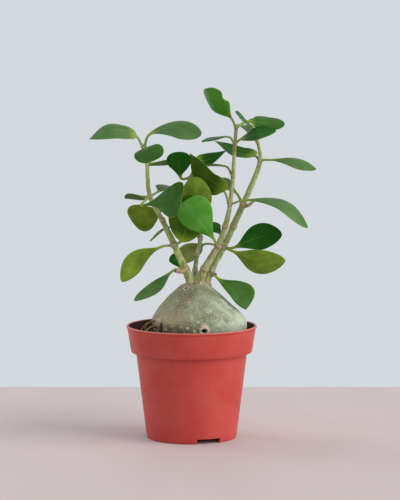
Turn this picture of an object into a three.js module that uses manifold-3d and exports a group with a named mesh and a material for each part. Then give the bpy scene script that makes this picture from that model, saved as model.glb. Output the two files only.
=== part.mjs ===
// A potted ant plant: a smooth swollen caudex with four slender stems and
// thick opposite leaves, growing in a thin plastic nursery pot.
//
// Units are millimetres and +Z is up. While it is built, the pot's axis is
// the Z axis and the ground is Z = 0. The last step moves everything so that
// the middle of the footprint's bounding box is the origin.

import * as THREE from 'three';
import { mergeVertices } from 'three/addons/utils/BufferGeometryUtils.js';
import Module from 'manifold-3d';

const wasm = await Module();
wasm.setup();

// ---------------------------------------------------------------- sizes

const GAP = 0.3; // clearance kept between pieces that touch in life

const POT = {
  height: 78,
  rimRadius: 45, // outside of the rolled lip
  bandTop: 44.1,
  bandBottom: 41.8,
  bandHeight: 18.4,
  bodyTop: 38.4,
  bodyBottom: 31,
  wall: 1,
  floorHeight: 4.2, // underside of the floor above the ground
  floorThickness: 1.1,
  footWidth: 1.8,
  segments: 48,
};

const DRAIN = {
  count: 3,
  firstAngle: -67, // degrees from +X
  width: 17,
  height: 3.4,
  cut: 10, // how far a notch's cutter reaches across the wall
  holeRadius: 3,
  holeSides: 12,
  holeLength: 8,
  holeAt: 22, // distance of a floor hole from the pot's axis
};

const SOIL = { top: 69, crown: 70.2, shoulder: 34 };

// Caudex sections from the crown down: height, radius and sideways offset of
// the centre, which leans a little towards the right near the soil.
const CAUDEX_SECTIONS = [
  [106.0, 7.5, 2.0],
  [104.6, 10.8, 1.7],
  [101.5, 14.8, 2.0],
  [97.6, 19.1, 2.7],
  [93.0, 24.0, 3.5],
  [88.0, 28.9, 4.4],
  [82.0, 32.6, 5.0],
  [76.0, 31.8, 5.6],
  [69.5, 30.0, 6.4],
  [63.0, 26.4, 6.4],
  [57.0, 19.2, 6.2],
  [53.5, 9.4, 6.0],
];
const CAUDEX = { top: 106.4, bottom: 52.3, segments: 32, flare: 1.2, flareAngle: 215 };

// Stem paths from the caudex to the youngest pair of leaves. Every point is
// a leaf node, apart from the first; radii are given at the same points.
const STEMS = {
  left_stem: {
    points: [[0, -1, 107.8], [-4.5, -1, 117], [-12, 1, 133.6], [-20, 3, 150.2],
      [-28.6, 4, 166.6], [-30.9, 4, 191.7], [-33, 4, 200.4]],
    radii: [2.9, 2.5, 2.2, 1.75, 1.5, 1.3, 1.2],
    color: 0xb9b98c,
  },
  middle_stem: {
    points: [[2.4, 5, 107.3], [2.5, 5.5, 115.6], [3.7, 6, 126], [6, 7, 138], [2.6, 8, 158.3],
      [-1.4, 8, 179]],
    radii: [1.8, 1.6, 1.5, 1.5, 1.2, 1],
    color: 0x97a37e,
  },
  front_right_stem: {
    points: [[5, -2.5, 107.8], [9, -3.5, 117.6], [18.2, -4, 133.4], [23.2, -4, 147],
      [26.4, -4, 162], [28.4, -3, 181.6], [29.7, -3, 203.8], [30.6, -3, 215]],
    radii: [2.9, 2.4, 2.1, 1.9, 1.5, 1.3, 1.25, 1.2],
    color: 0xa7a77c,
  },
  back_right_stem: {
    points: [[10.2, 3.5, 107], [14, 3.5, 116], [22.2, 5, 131.4], [28.7, 5, 146.1],
      [35.6, 4, 161.5], [47, 2, 191.8], [45.2, 0, 204.5], [42, -2, 214]],
    radii: [2.3, 2.1, 2, 2.2, 2.1, 1.5, 1.1, 1],
    color: 0xa9ad82,
  },
};
const STEM_SIDES = 8;
const STEM_STEP = 4.5; // spacing of the stem's sections along its path
const NODE_SWELL = 0.22; // how much thicker a stem is at a leaf node
const NODE_LENGTH = 1.8; // how far that swelling reaches along the stem

// Leaf defaults. A leaf's path runs from its stem through the foot of the
// blade and the middle to the tip, and face is the way its upper side looks.
const LEAF = {
  petiole: 0.95, // half the petiole's width
  petioleThickness: 1.5,
  thickness: 1.1, // of the blade, along the midrib
  widest: 0.6, // where the blade is widest, from its foot to its tip
  foot: 1.25, // how wedge-shaped the foot is
  apex: 0.6, // how round the tip is
  cup: 16, // degrees that each margin is turned towards the upper side
  twist: 0, // degrees that the blade turns about the midrib, foot to tip
};

const LEAVES = {
  leaf_left_5_west: { on: ['left_stem', 6], path: [[-38, 1, 208.4], [-51.5, -4, 213], [-69.4, -9, 206.9]],
    face: [-0.1, -0.5, 0.87], width: 20, widest: 0.42, foot: 0.5, apex: 0.9, cup: -12 },
  leaf_left_5_east: { on: ['left_stem', 6], path: [[-29, 1, 209.3], [-12, -4, 214.4], [6.5, -9, 209.6]],
    face: [0.1, -0.6, 0.8], width: 19.5, widest: 0.66, foot: 0.6, apex: 0.5, cup: -10 },
  leaf_left_4_front: { on: ['left_stem', 5], path: [[-31, -4, 197], [-31, -18, 201], [-25, -33, 194]],
    face: [-0.36, -0.15, 0.93], width: 20.5, widest: 0.68, foot: 0.9, apex: 0.34, cup: -6 },
  leaf_left_4_back: { on: ['left_stem', 5], path: [[-29.5, 7, 189.3], [-22.5, 17, 188.6], [-13, 27, 187.6]],
    face: [0.05, 0.55, 0.83], width: 14, widest: 0.5, foot: 0.6, cup: 6 },
  leaf_left_3_west: { on: ['left_stem', 4], path: [[-31.2, 8, 166.2], [-37.2, 16, 164.6], [-46.4, 26, 163.6]],
    face: [0, 0.45, 0.9], width: 15, widest: 0.5, foot: 0.8, apex: 0.8 },
  leaf_left_3_front: { on: ['left_stem', 4], path: [[-34.2, -9, 161.8], [-18.8, -20, 166], [-6.2, -29, 168.4]],
    face: [-0.5, -0.72, 0.5], width: 27, widest: 0.86, foot: 0.5, apex: 0.2, cup: 4 },
  leaf_left_3_back: { on: ['left_stem', 4], path: [[-24, 9, 169], [-18.5, 22, 171], [-12, 34, 170.5]],
    face: [0.3, 0.3, 0.9], width: 15 },
  leaf_left_2_west: { on: ['left_stem', 2], path: [[-20, 0, 132.5], [-36, -3, 124], [-48, -7, 109]],
    face: [-0.3, 0.75, 0.6], width: 19, cup: 10 },
  leaf_left_2_front: { on: ['left_stem', 2], path: [[-7.4, -4, 136.5], [-2.8, -9.5, 151], [0.4, -13, 169]],
    face: [0, 0.95, 0.3], width: 27, foot: 0.45, widest: 0.55, apex: 0.5, cup: 10 },
  leaf_left_1_west: { on: ['left_stem', 1], path: [[-11.5, -4, 116.8], [-25, -9, 104.5], [-39, -14, 96.5]],
    face: [-0.35, -0.5, 0.8], width: 14, cup: 14 },
  leaf_left_1_back: { on: ['left_stem', 1], path: [[-8, 5, 117.6], [-10.5, 8, 121], [-12.5, 10, 126.5]],
    face: [0.3, -0.9, 0.2], width: 10 },
  leaf_middle_2_west: { on: ['middle_stem', 4], path: [[-18.3, 13, 157.5], [-29, 17, 153.2], [-41, 20, 147.2]],
    face: [-0.2, 0.9, 0.45], width: 25, widest: 0.78, foot: 0.5, apex: 0.28, cup: 6 },
  leaf_middle_1_west: { on: ['middle_stem', 3], path: [[-2, 12, 142], [-17, 17, 144], [-29, 20, 134]],
    face: [-0.3, 0.1, 0.95], width: 10, cup: 0 },
  leaf_middle_1_front: { on: ['middle_stem', 3], path: [[6, 2, 144], [3.6, -5, 161], [2.5, -9, 181]],
    face: [0.05, 0.95, 0.3], width: 21.5, widest: 0.62, apex: 0.5, cup: 8 },
  leaf_middle_3_west: { on: ['middle_stem', 5], path: [[-7, 9.5, 178.6], [-8.2, 10, 187], [-8.5, 10, 197]],
    face: [-0.2, -0.9, 0.35], width: 18, widest: 0.7, foot: 0.8, apex: 0.38, cup: 12 },
  leaf_middle_3_east: { on: ['middle_stem', 5], path: [[4.8, 12, 189.9], [10.6, 15, 191], [24.1, 17, 197.5]],
    face: [-0.2, -0.75, 0.6], width: 10, widest: 0.28, foot: 0.45, apex: 0.9, twist: 50, cup: 6 },
  leaf_front_2_west: { on: ['front_right_stem', 2], path: [[16, -7, 137], [5, -16, 153.5], [-3, -22, 166.6]],
    face: [-0.3, -0.85, 0.45], width: 24, widest: 0.7, foot: 0.8, apex: 0.32, cup: -12 },
  leaf_front_2_back: { on: ['front_right_stem', 2], path: [[20.3, 4.4, 139.8], [15.5, 12, 143.8], [12.5, 20, 147.3]],
    face: [0, -0.6, 0.8], width: 11 },
  leaf_front_2_north: { on: ['front_right_stem', 2], path: [[9.5, 7.5, 133.4], [1, 14, 129], [-5.5, 19, 118.5]],
    face: [-0.5, 0.8, 0.4], width: 20, cup: 8 },
  leaf_front_4_west: { on: ['front_right_stem', 4], path: [[22.3, -6, 171.2], [10.6, -1, 181.4], [-1.2, 3, 196.4]],
    face: [0.45, 0.75, 0.48], width: 22, widest: 0.38, foot: 0.45, apex: 1, cup: -40 },
  leaf_front_4_east: { on: ['front_right_stem', 4], path: [[35, -8, 164.8], [62, -14, 163], [79, -18, 147]],
    face: [0.35, -0.35, 0.85], width: 19, cup: -10 },
  leaf_front_5_west: { on: ['front_right_stem', 5], path: [[24, 1, 187.4], [15, 4, 188.2], [6, 7, 187.5]],
    face: [0, 0.05, 1], width: 13, cup: 6 },
  leaf_front_6_west: { on: ['front_right_stem', 6], path: [[26, -6, 208], [17, -15, 208], [7.5, -24, 206]],
    face: [-0.1, -0.05, 0.97], width: 14, cup: -4 },
  leaf_front_6_east: { on: ['front_right_stem', 6], path: [[33.8, -5, 206.7], [44.6, -11, 210.2], [57.3, -16, 212.6]],
    face: [0.1, -0.55, 0.8], width: 17, widest: 0.5, foot: 0.7, cup: 14 },
  leaf_front_7_west: { on: ['front_right_stem', 7], path: [[27.3, -5, 220.7], [17.6, -9, 230.2], [10.5, -13, 241.6]],
    face: [-0.74, -0.58, 0.33], width: 22, widest: 0.66, foot: 0.7, apex: 0.45, cup: -28 },
  leaf_front_7_east: { on: ['front_right_stem', 7], path: [[38.2, 1, 218.3], [51.1, 4, 217], [63.9, 4, 216.5]],
    face: [0, -0.5, 0.85], width: 17, foot: 0.6, apex: 0.5, cup: -6 },
  leaf_back_1_east: { on: ['back_right_stem', 1], path: [[16.7, -1, 111.8], [28, -5, 102.9], [37.4, -9, 89.9]],
    face: [0.35, -0.75, 0.55], width: 19, widest: 0.66, foot: 0.9, apex: 0.8, cup: 10 },
  leaf_back_2_east: { on: ['back_right_stem', 2], path: [[28, -1, 131.5], [45, -3, 138.5], [62, -6, 141.5]],
    face: [-0.25, -0.85, 0.45], width: 20, cup: 12 },
  leaf_back_2_south: { on: ['back_right_stem', 2], path: [[27, 8, 129], [45, 12, 122], [65, 14, 121]],
    face: [0, 0.85, 0.5], width: 21.5, cup: 16 },
  leaf_back_4_west: { on: ['back_right_stem', 4], path: [[31, 9, 168.5], [24, 14, 172.8], [14.5, 22, 176.5]],
    face: [-0.1, -0.4, 0.9], width: 15 },
  leaf_back_5_west: { on: ['back_right_stem', 5], path: [[43.5, 5, 194.7], [32, 11, 196.4], [16.2, 18, 204]],
    face: [0.1, -0.42, 0.9], width: 16, widest: 0.3, foot: 0.5, apex: 1 },
  leaf_back_5_east: { on: ['back_right_stem', 5], path: [[52.5, -1, 192.2], [68, -4, 191.5], [85, -7, 186]],
    face: [0.1, -0.38, 0.92], width: 15.5, cup: -10 },
  leaf_back_6_north: { on: ['back_right_stem', 6], path: [[40.5, 7, 209], [37.5, 20, 214], [34.5, 34, 213.5]],
    face: [0, 0, 1], width: 12 },
  leaf_back_7_west: { on: ['back_right_stem', 7], path: [[41, -6, 215.6], [35.2, -14, 219.9], [30.1, -22, 225.4]],
    face: [0.75, -0.1, 0.65], width: 13 },
  leaf_back_7_east: { on: ['back_right_stem', 7], path: [[46, 6, 216.5], [49.5, 18, 217.5], [54, 31, 219.5]],
    face: [0.1, -0.4, 0.9], width: 15 },
};

// ------------------------------------------------------------- materials

function paint(color, roughness) {
  return new THREE.MeshStandardMaterial({ color, roughness, metalness: 0 });
}

const makePlastic = () => paint(0xc4574a, 0.55);
const makeSoil = () => paint(0x33281f, 0.95);
const makeBark = () => paint(0x9b9d84, 0.7);
const makeLeaf = () => paint(0x3c6a31, 0.45);

// ---------------------------------------------------------- shape helpers

const vector = ([x, y, z]) => new THREE.Vector3(x, y, z);
const radians = THREE.MathUtils.degToRad;

/** Closes a stack of rings, each with the same number of points, into one body. */
function skin(rings, firstCap, lastCap) {
  const sides = rings[0].length;
  const points = [...rings.flat(), firstCap, lastCap];
  const first = points.length - 2;
  const last = points.length - 1;
  const faces = [];
  for (let i = 0; i < sides; i += 1) {
    const j = (i + 1) % sides;
    faces.push(first, j, i);
    for (let k = 0; k < rings.length - 1; k += 1) {
      const a = k * sides;
      const b = a + sides;
      faces.push(a + i, a + j, b + j, a + i, b + j, b + i);
    }
    const end = (rings.length - 1) * sides;
    faces.push(last, end + i, end + j);
  }
  const geometry = new THREE.BufferGeometry().setFromPoints(points);
  geometry.setIndex(signedVolume(points, faces) < 0 ? faces.reverse() : faces);
  return geometry;
}

/** Six times the signed volume that a closed set of triangles encloses. */
function signedVolume(points, faces) {
  const normal = new THREE.Vector3();
  let total = 0;
  for (let i = 0; i < faces.length; i += 3) {
    const [a, b, c] = [points[faces[i]], points[faces[i + 1]], points[faces[i + 2]]];
    total += a.dot(normal.crossVectors(b, c));
  }
  return total;
}

function toSolid(geometry) {
  const bare = geometry.clone();
  bare.deleteAttribute('normal');
  bare.deleteAttribute('uv');
  const merged = mergeVertices(bare, 1e-4);
  const vertProperties = new Float32Array(merged.attributes.position.array);
  const triVerts = new Uint32Array(merged.index.array);
  return new wasm.Manifold(new wasm.Mesh({ numProp: 3, vertProperties, triVerts }));
}

function fromSolid(solid) {
  const mesh = solid.getMesh();
  const geometry = new THREE.BufferGeometry();
  geometry.setAttribute('position', new THREE.BufferAttribute(mesh.vertProperties, 3));
  geometry.setIndex(new THREE.BufferAttribute(mesh.triVerts, 1));
  return geometry;
}

/** A lathe about +Z from a profile of [radius, height] that meets the axis twice. */
function lathe(profile, segments) {
  const points = profile.map(([r, z]) => new THREE.Vector2(r, z));
  const geometry = new THREE.LatheGeometry(points, segments).rotateX(Math.PI / 2);
  const solid = toSolid(geometry);
  if (solid.volume() > 0) return solid;
  const flipped = geometry.toNonIndexed();
  const position = flipped.attributes.position;
  for (let i = 0; i < position.count; i += 3) {
    const a = new THREE.Vector3().fromBufferAttribute(position, i);
    const c = new THREE.Vector3().fromBufferAttribute(position, i + 2);
    position.setXYZ(i, c.x, c.y, c.z);
    position.setXYZ(i + 2, a.x, a.y, a.z);
  }
  return toSolid(flipped);
}

// -------------------------------------------------------------------- pot

/** Outer radius of the pot's body at a height below the band. */
function bodyRadius(z) {
  const bandFoot = POT.height - POT.bandHeight;
  return POT.bodyBottom + (POT.bodyTop - POT.bodyBottom) * (z / bandFoot);
}

function makePot() {
  const { height, rimRadius, bandTop, bandBottom, bodyTop, wall } = POT;
  const bandFoot = height - POT.bandHeight;
  const floor = POT.floorHeight;
  const floorTop = floor + POT.floorThickness;
  const footInner = bodyRadius(0) - POT.footWidth;
  const profile = [
    [0, floor], [footInner, floor], [footInner, 0], [POT.bodyBottom - 0.8, 0],
    [POT.bodyBottom + 0.1, 1], [bodyTop - 0.1, bandFoot - 0.6], [bodyTop + 0.4, bandFoot],
    [bandBottom - 0.6, bandFoot], [bandBottom, bandFoot + 0.7], [bandTop, height - 3],
    [rimRadius - 0.3, height - 2.2], [rimRadius, height - 1.4], [rimRadius - 0.4, height],
    [rimRadius - 1.4, height], [bandTop - wall, height - 1.4],
    [bandBottom - wall, bandFoot + 1.3], [bodyTop - wall, bandFoot + 0.9],
    [bodyRadius(floorTop) - wall, floorTop], [0, floorTop],
  ];
  let pot = lathe(profile, POT.segments);
  for (let i = 0; i < DRAIN.count; i += 1) {
    const angle = radians(DRAIN.firstAngle) + (2 * Math.PI * i) / DRAIN.count;
    const notch = new THREE.BoxGeometry(DRAIN.cut, DRAIN.width, 2 * DRAIN.height)
      .translate(POT.bodyBottom, 0, 0)
      .rotateZ(angle);
    const hole = new THREE.CylinderGeometry(DRAIN.holeRadius, DRAIN.holeRadius, DRAIN.holeLength, DRAIN.holeSides)
      .rotateX(Math.PI / 2)
      .translate(DRAIN.holeAt, 0, floor)
      .rotateZ(angle);
    pot = pot.subtract(toSolid(notch)).subtract(toSolid(hole));
  }
  return fromSolid(pot);
}

// ----------------------------------------------------------------- caudex

/** The swollen base, made larger on every side by grow. */
function makeCaudex(grow = 0) {
  const rings = CAUDEX_SECTIONS.map(([z, radius, lean]) => {
    const ring = [];
    const low = THREE.MathUtils.smoothstep(95 - z, 0, 20) * (z > SOIL.top - 8 ? 1 : 0.4);
    for (let i = 0; i < CAUDEX.segments; i += 1) {
      const angle = (2 * Math.PI * i) / CAUDEX.segments;
      const flare = CAUDEX.flare * low * Math.max(0, Math.cos(angle - radians(CAUDEX.flareAngle))) ** 6;
      const r = radius + flare + grow;
      ring.push(new THREE.Vector3(lean + r * Math.cos(angle), r * Math.sin(angle), z));
    }
    return ring;
  });
  const [top, bottom] = [CAUDEX_SECTIONS[0], CAUDEX_SECTIONS.at(-1)];
  return skin(rings, vector([top[2], 0, CAUDEX.top + grow]), vector([bottom[2], 0, CAUDEX.bottom - grow]));
}

// ------------------------------------------------------------------- soil

function makeSoilBody() {
  const inside = (z) => bodyRadius(z) - POT.wall - GAP;
  const bandFoot = POT.height - POT.bandHeight;
  const floor = POT.floorHeight + POT.floorThickness + GAP;
  const slope = (POT.bandTop - POT.bandBottom) / (POT.bandHeight - 3.7);
  const bandInside = POT.bandBottom - POT.wall - GAP;
  const ledge = bandFoot + 1.3 + GAP;
  const soil = lathe([
    [0, floor], [inside(floor) - 0.1, floor], [inside(bandFoot) - 0.4, ledge],
    [bandInside - 0.2, ledge + 0.4], [bandInside + slope * (SOIL.top - ledge) - 0.1, SOIL.top],
    [SOIL.shoulder, SOIL.crown], [0, SOIL.crown],
  ], POT.segments);
  return fromSolid(soil.subtract(toSolid(makeCaudex(GAP))));
}

// ------------------------------------------------------------------ stems

const curves = {};
for (const [name, stem] of Object.entries(STEMS)) {
  curves[name] = new THREE.CatmullRomCurve3(stem.points.map(vector));
}

function makeStem(name) {
  const { points, radii } = STEMS[name];
  const curve = curves[name];
  const spans = points.length - 1;
  const steps = Math.round(curve.getLength() / STEM_STEP);
  const lengths = curve.getLengths(spans * 20);
  const nodeAt = points.map((_, i) => lengths[i * 20] / lengths.at(-1));
  const frames = curve.computeFrenetFrames(steps, false);
  const rings = [];
  for (let k = 0; k <= steps; k += 1) {
    const s = k / steps;
    const span = Math.max(0, nodeAt.findIndex((at) => at > s - 1e-9) - 1);
    const mix = (s - nodeAt[span]) / (nodeAt[span + 1] - nodeAt[span]);
    const nearest = Math.min(...nodeAt.slice(1).map((at) => Math.abs(at - s))) * lengths.at(-1);
    const swell = 1 + NODE_SWELL * Math.exp(-((nearest / NODE_LENGTH) ** 2));
    const radius = THREE.MathUtils.lerp(radii[span], radii[span + 1], mix) * swell;
    const centre = curve.getPointAt(s);
    const ring = [];
    for (let i = 0; i < STEM_SIDES; i += 1) {
      const angle = (2 * Math.PI * i) / STEM_SIDES;
      ring.push(centre.clone()
        .addScaledVector(frames.normals[k], radius * Math.cos(angle))
        .addScaledVector(frames.binormals[k], radius * Math.sin(angle)));
    }
    rings.push(ring);
  }
  return skin(rings, curve.getPointAt(0), curve.getPointAt(1));
}

// ----------------------------------------------------------------- leaves

/** Where a leaf meets its stem: on the stem's surface, on the side it points to. */
function leafRoot({ on: [stemName, node], path }) {
  const stem = STEMS[stemName];
  const centre = vector(stem.points[node]);
  const along = curves[stemName].getTangent(node / (stem.points.length - 1));
  const towards = vector(path[0]).sub(centre).normalize();
  const lean = towards.dot(along);
  const outwards = towards.clone().addScaledVector(along, -lean).normalize();
  const reach = stem.radii[node] * (1 + NODE_SWELL) + GAP + LEAF.petiole * Math.abs(lean);
  return centre.addScaledVector(outwards, reach);
}

/** Half the width of a leaf at t, from 0 at the blade's foot to 1 at its tip. */
function halfWidth(t, width, widest, foot, apex) {
  if (t <= 0) return LEAF.petiole;
  const power = Math.log(0.5) / Math.log(widest);
  const roundness = foot + (apex - foot) * t;
  const blade = (width / 2) * Math.sin(Math.PI * t ** power) ** roundness;
  return Math.hypot(LEAF.petiole * (1 - t * t), blade);
}

function makeLeafBlade(spec) {
  const { width, widest, foot, apex, cup, twist, thickness } = { ...LEAF, ...spec };
  const root = leafRoot(spec);
  const points = [root, ...spec.path.map(vector)];
  const curve = new THREE.CatmullRomCurve3(points);
  const chords = points.slice(1).map((point, i) => point.distanceTo(points[i]));
  const stalk = chords[0] / (chords[0] + chords[1] + chords[2]);
  const face = vector(spec.face);
  const stations = [-1, -0.35, 0.03, 0.16, 0.34, 0.52, 0.7, 0.85, 0.95];
  const rings = stations.map((t) => {
    const s = t < 0 ? stalk * (1 + t) : stalk + (1 - stalk) * t;
    const centre = curve.getPointAt(s);
    const tangent = curve.getTangentAt(s);
    const normal = face.clone().addScaledVector(tangent, -face.dot(tangent)).normalize();
    normal.applyAxisAngle(tangent, radians(twist) * (Math.max(0, t) - 0.5));
    const side = new THREE.Vector3().crossVectors(tangent, normal);
    const half = halfWidth(t, width, widest, foot, apex);
    const body = t < 0.05 ? LEAF.petioleThickness : thickness;
    const bend = radians(cup) * THREE.MathUtils.smoothstep(t, 0, 0.3) + 1e-3;
    const at = (v, up) => centre.clone()
      .addScaledVector(side, (half * Math.sin(bend * v)) / bend)
      .addScaledVector(normal, (half * (1 - Math.cos(bend * v))) / bend + up * body * (0.5 - 0.3 * v * v));
    return [at(-1, 0), at(-0.55, 1), at(0, 1), at(0.55, 1), at(1, 0), at(0.55, -1), at(0, -1), at(-0.55, -1)];
  });
  return skin(rings, root, curve.getPointAt(1));
}

// --------------------------------------------------------------- assembly

const plant = new THREE.Group();
plant.name = 'potted_ant_plant';

function addPiece(name, geometry, material) {
  const mesh = new THREE.Mesh(geometry, material);
  mesh.name = name;
  plant.add(mesh);
}

addPiece('pot', makePot(), makePlastic());
addPiece('soil', makeSoilBody(), makeSoil());
addPiece('caudex', makeCaudex(), makeBark());
for (const [name, stem] of Object.entries(STEMS)) {
  addPiece(name, makeStem(name), paint(stem.color, 0.6));
}
for (const [name, spec] of Object.entries(LEAVES)) {
  addPiece(name, makeLeafBlade(spec), makeLeaf());
}

const bounds = new THREE.Box3().setFromObject(plant);
const middle = bounds.getCenter(new THREE.Vector3());
plant.position.set(-middle.x, -middle.y, -bounds.min.z);

export default plant;
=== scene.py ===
"""A potted ant plant: swollen caudex, four slender stems and thick opposite leaves.

Shapes are worked out in millimetres about the pot's axis, with +Z up and the
ground at Z = 0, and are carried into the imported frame, in metres, by Place.
"""

import logging
import math
from dataclasses import dataclass, field
from enum import Enum

import bpy
import numpy as np
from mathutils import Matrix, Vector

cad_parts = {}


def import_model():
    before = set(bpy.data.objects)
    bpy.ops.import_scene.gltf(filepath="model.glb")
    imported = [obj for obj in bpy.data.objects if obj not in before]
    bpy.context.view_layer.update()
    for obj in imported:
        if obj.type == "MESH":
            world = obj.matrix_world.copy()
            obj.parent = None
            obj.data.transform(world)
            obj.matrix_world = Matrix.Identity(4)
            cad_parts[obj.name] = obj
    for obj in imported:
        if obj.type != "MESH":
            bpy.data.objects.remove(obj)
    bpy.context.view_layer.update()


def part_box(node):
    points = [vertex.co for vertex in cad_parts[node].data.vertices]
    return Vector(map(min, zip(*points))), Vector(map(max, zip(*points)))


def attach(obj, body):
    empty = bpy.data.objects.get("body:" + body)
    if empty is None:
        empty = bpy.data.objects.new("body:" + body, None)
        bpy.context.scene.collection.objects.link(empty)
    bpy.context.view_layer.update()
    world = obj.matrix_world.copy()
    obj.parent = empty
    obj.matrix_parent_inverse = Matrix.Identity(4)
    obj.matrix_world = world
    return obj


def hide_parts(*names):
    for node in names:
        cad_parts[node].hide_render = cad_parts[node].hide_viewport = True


LOG = logging.getLogger("ant_plant")
BODY = "root"
MM = 0.001  # metres in a millimetre

Array = np.ndarray
Point = tuple[float, float, float]
Colour = tuple[float, float, float]
Material = bpy.types.Material
Socket = bpy.types.NodeSocket

BLACK: Colour = (0.0, 0.0, 0.0)
WHITE: Colour = (1.0, 1.0, 1.0)

NOISE_VALUES = 4096  # random values that the noise draws on, a power of two
NOISE_PRIMES = (73856093, 19349663, 83492791)  # they spread the lattice's corners over those values


# ------------------------------------------------------------------- numbers

def smoothstep(x: Array, low: float, high: float) -> Array:
    """Rises from 0 at low to 1 at high: 3u^2 - 2u^3 of the clipped fraction u."""
    u = np.clip((x - low) / (high - low), 0.0, 1.0)
    return u * u * (3.0 - 2.0 * u)


def bell(x: Array, width: float) -> Array:
    """A bell of height 1: exp of minus the square of x over width."""
    return np.exp(-((x / width) ** 2))


def unit(v: Array) -> Array:
    """Vectors made one long."""
    return v / np.linalg.norm(v, axis=-1, keepdims=True)


def lattice_noise(points: Array, cell: float, seed: int) -> Array:
    """Smooth noise in space: random values on a cubic lattice, blended between its corners.

    Args:
        points: places in mm, with x, y, z on the last axis.
        cell: the lattice spacing in mm.
        seed: chooses the random values.

    Returns:
        Values from -1 to 1, one for each point.
    """
    values = np.random.default_rng(seed).uniform(-1.0, 1.0, NOISE_VALUES)
    scaled = np.asarray(points, float) / cell
    low = np.floor(scaled).astype(np.int64)
    part = scaled - low
    part = part * part * (3.0 - 2.0 * part)
    total = np.zeros(scaled.shape[:-1])
    for corner in np.ndindex(2, 2, 2):
        at = low + np.array(corner)
        key = np.bitwise_xor.reduce(at * np.array(NOISE_PRIMES), axis=-1)
        weight = np.prod(np.where(np.array(corner) == 1, part, 1.0 - part), axis=-1)
        total += weight * values[key & (NOISE_VALUES - 1)]
    return total


class Path:
    """A smooth curve through points, measured by its own length."""

    STEPS = 60

    def __init__(self, points: Array) -> None:
        """Samples a centripetal Catmull-Rom curve through the points.

        Between two points it is the cubic that leaves and arrives with the
        slopes of the curve through their neighbours, and knots are spaced by
        the square root of the chords. The end points are mirrored outwards.

        Args:
            points: the points to pass through, one a row, in mm.
        """
        p = np.asarray(points, float)
        full = np.vstack([2 * p[0] - p[1], p, 2 * p[-1] - p[-2]])
        a, b, c, d = full[:-3], full[1:-2], full[2:-1], full[3:]
        ka, kb, kc = (np.sqrt(np.linalg.norm(y - x, axis=1))[:, None] for x, y in ((a, b), (b, c), (c, d)))
        out = ((b - a) / ka - (c - a) / (ka + kb) + (c - b) / kb) * kb
        into = ((c - b) / kb - (d - b) / (kb + kc) + (d - c) / kc) * kb
        u = np.linspace(0.0, 1.0, self.STEPS, endpoint=False)[None, :, None]
        b, c, out, into = (x[:, None, :] for x in (b, c, out, into))
        body = ((2 * u**3 - 3 * u**2 + 1) * b + (u**3 - 2 * u**2 + u) * out
                + (3 * u**2 - 2 * u**3) * c + (u**3 - u**2) * into)
        self.samples = np.vstack([body.reshape(-1, p.shape[1]), p[-1:]])
        steps = np.linalg.norm(np.diff(self.samples, axis=0), axis=1)
        self.lengths = np.concatenate([[0.0], np.cumsum(steps)])
        self.length = float(self.lengths[-1])
        self.knots = self.lengths[::self.STEPS] / self.length

    def at(self, s: Array) -> Array:
        """Points at fractions s of the length, found between the samples."""
        where = np.asarray(s) * self.length
        return np.stack([np.interp(where, self.lengths, axis) for axis in self.samples.T], -1)

    def tangent(self, s: Array) -> Array:
        """Directions at fractions s: the chord between points just before and just after."""
        reach = 0.004
        s = np.asarray(s)
        return unit(self.at(np.clip(s + reach, 0, 1)) - self.at(np.clip(s - reach, 0, 1)))


# -------------------------------------------------------------------- meshes

class Place:
    """Carries shapes from the pot's axis, in mm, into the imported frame, in metres."""

    def __init__(self) -> None:
        """Finds the pot's axis as the middle of the pot node's box."""
        low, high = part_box("pot")
        self.origin = np.array([(low.x + high.x) / 2, (low.y + high.y) / 2, low.z])

    def __call__(self, points: Array) -> Array:
        """Points in mm about the pot's axis, as metres in the frame."""
        return np.asarray(points, float) * MM + self.origin


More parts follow.
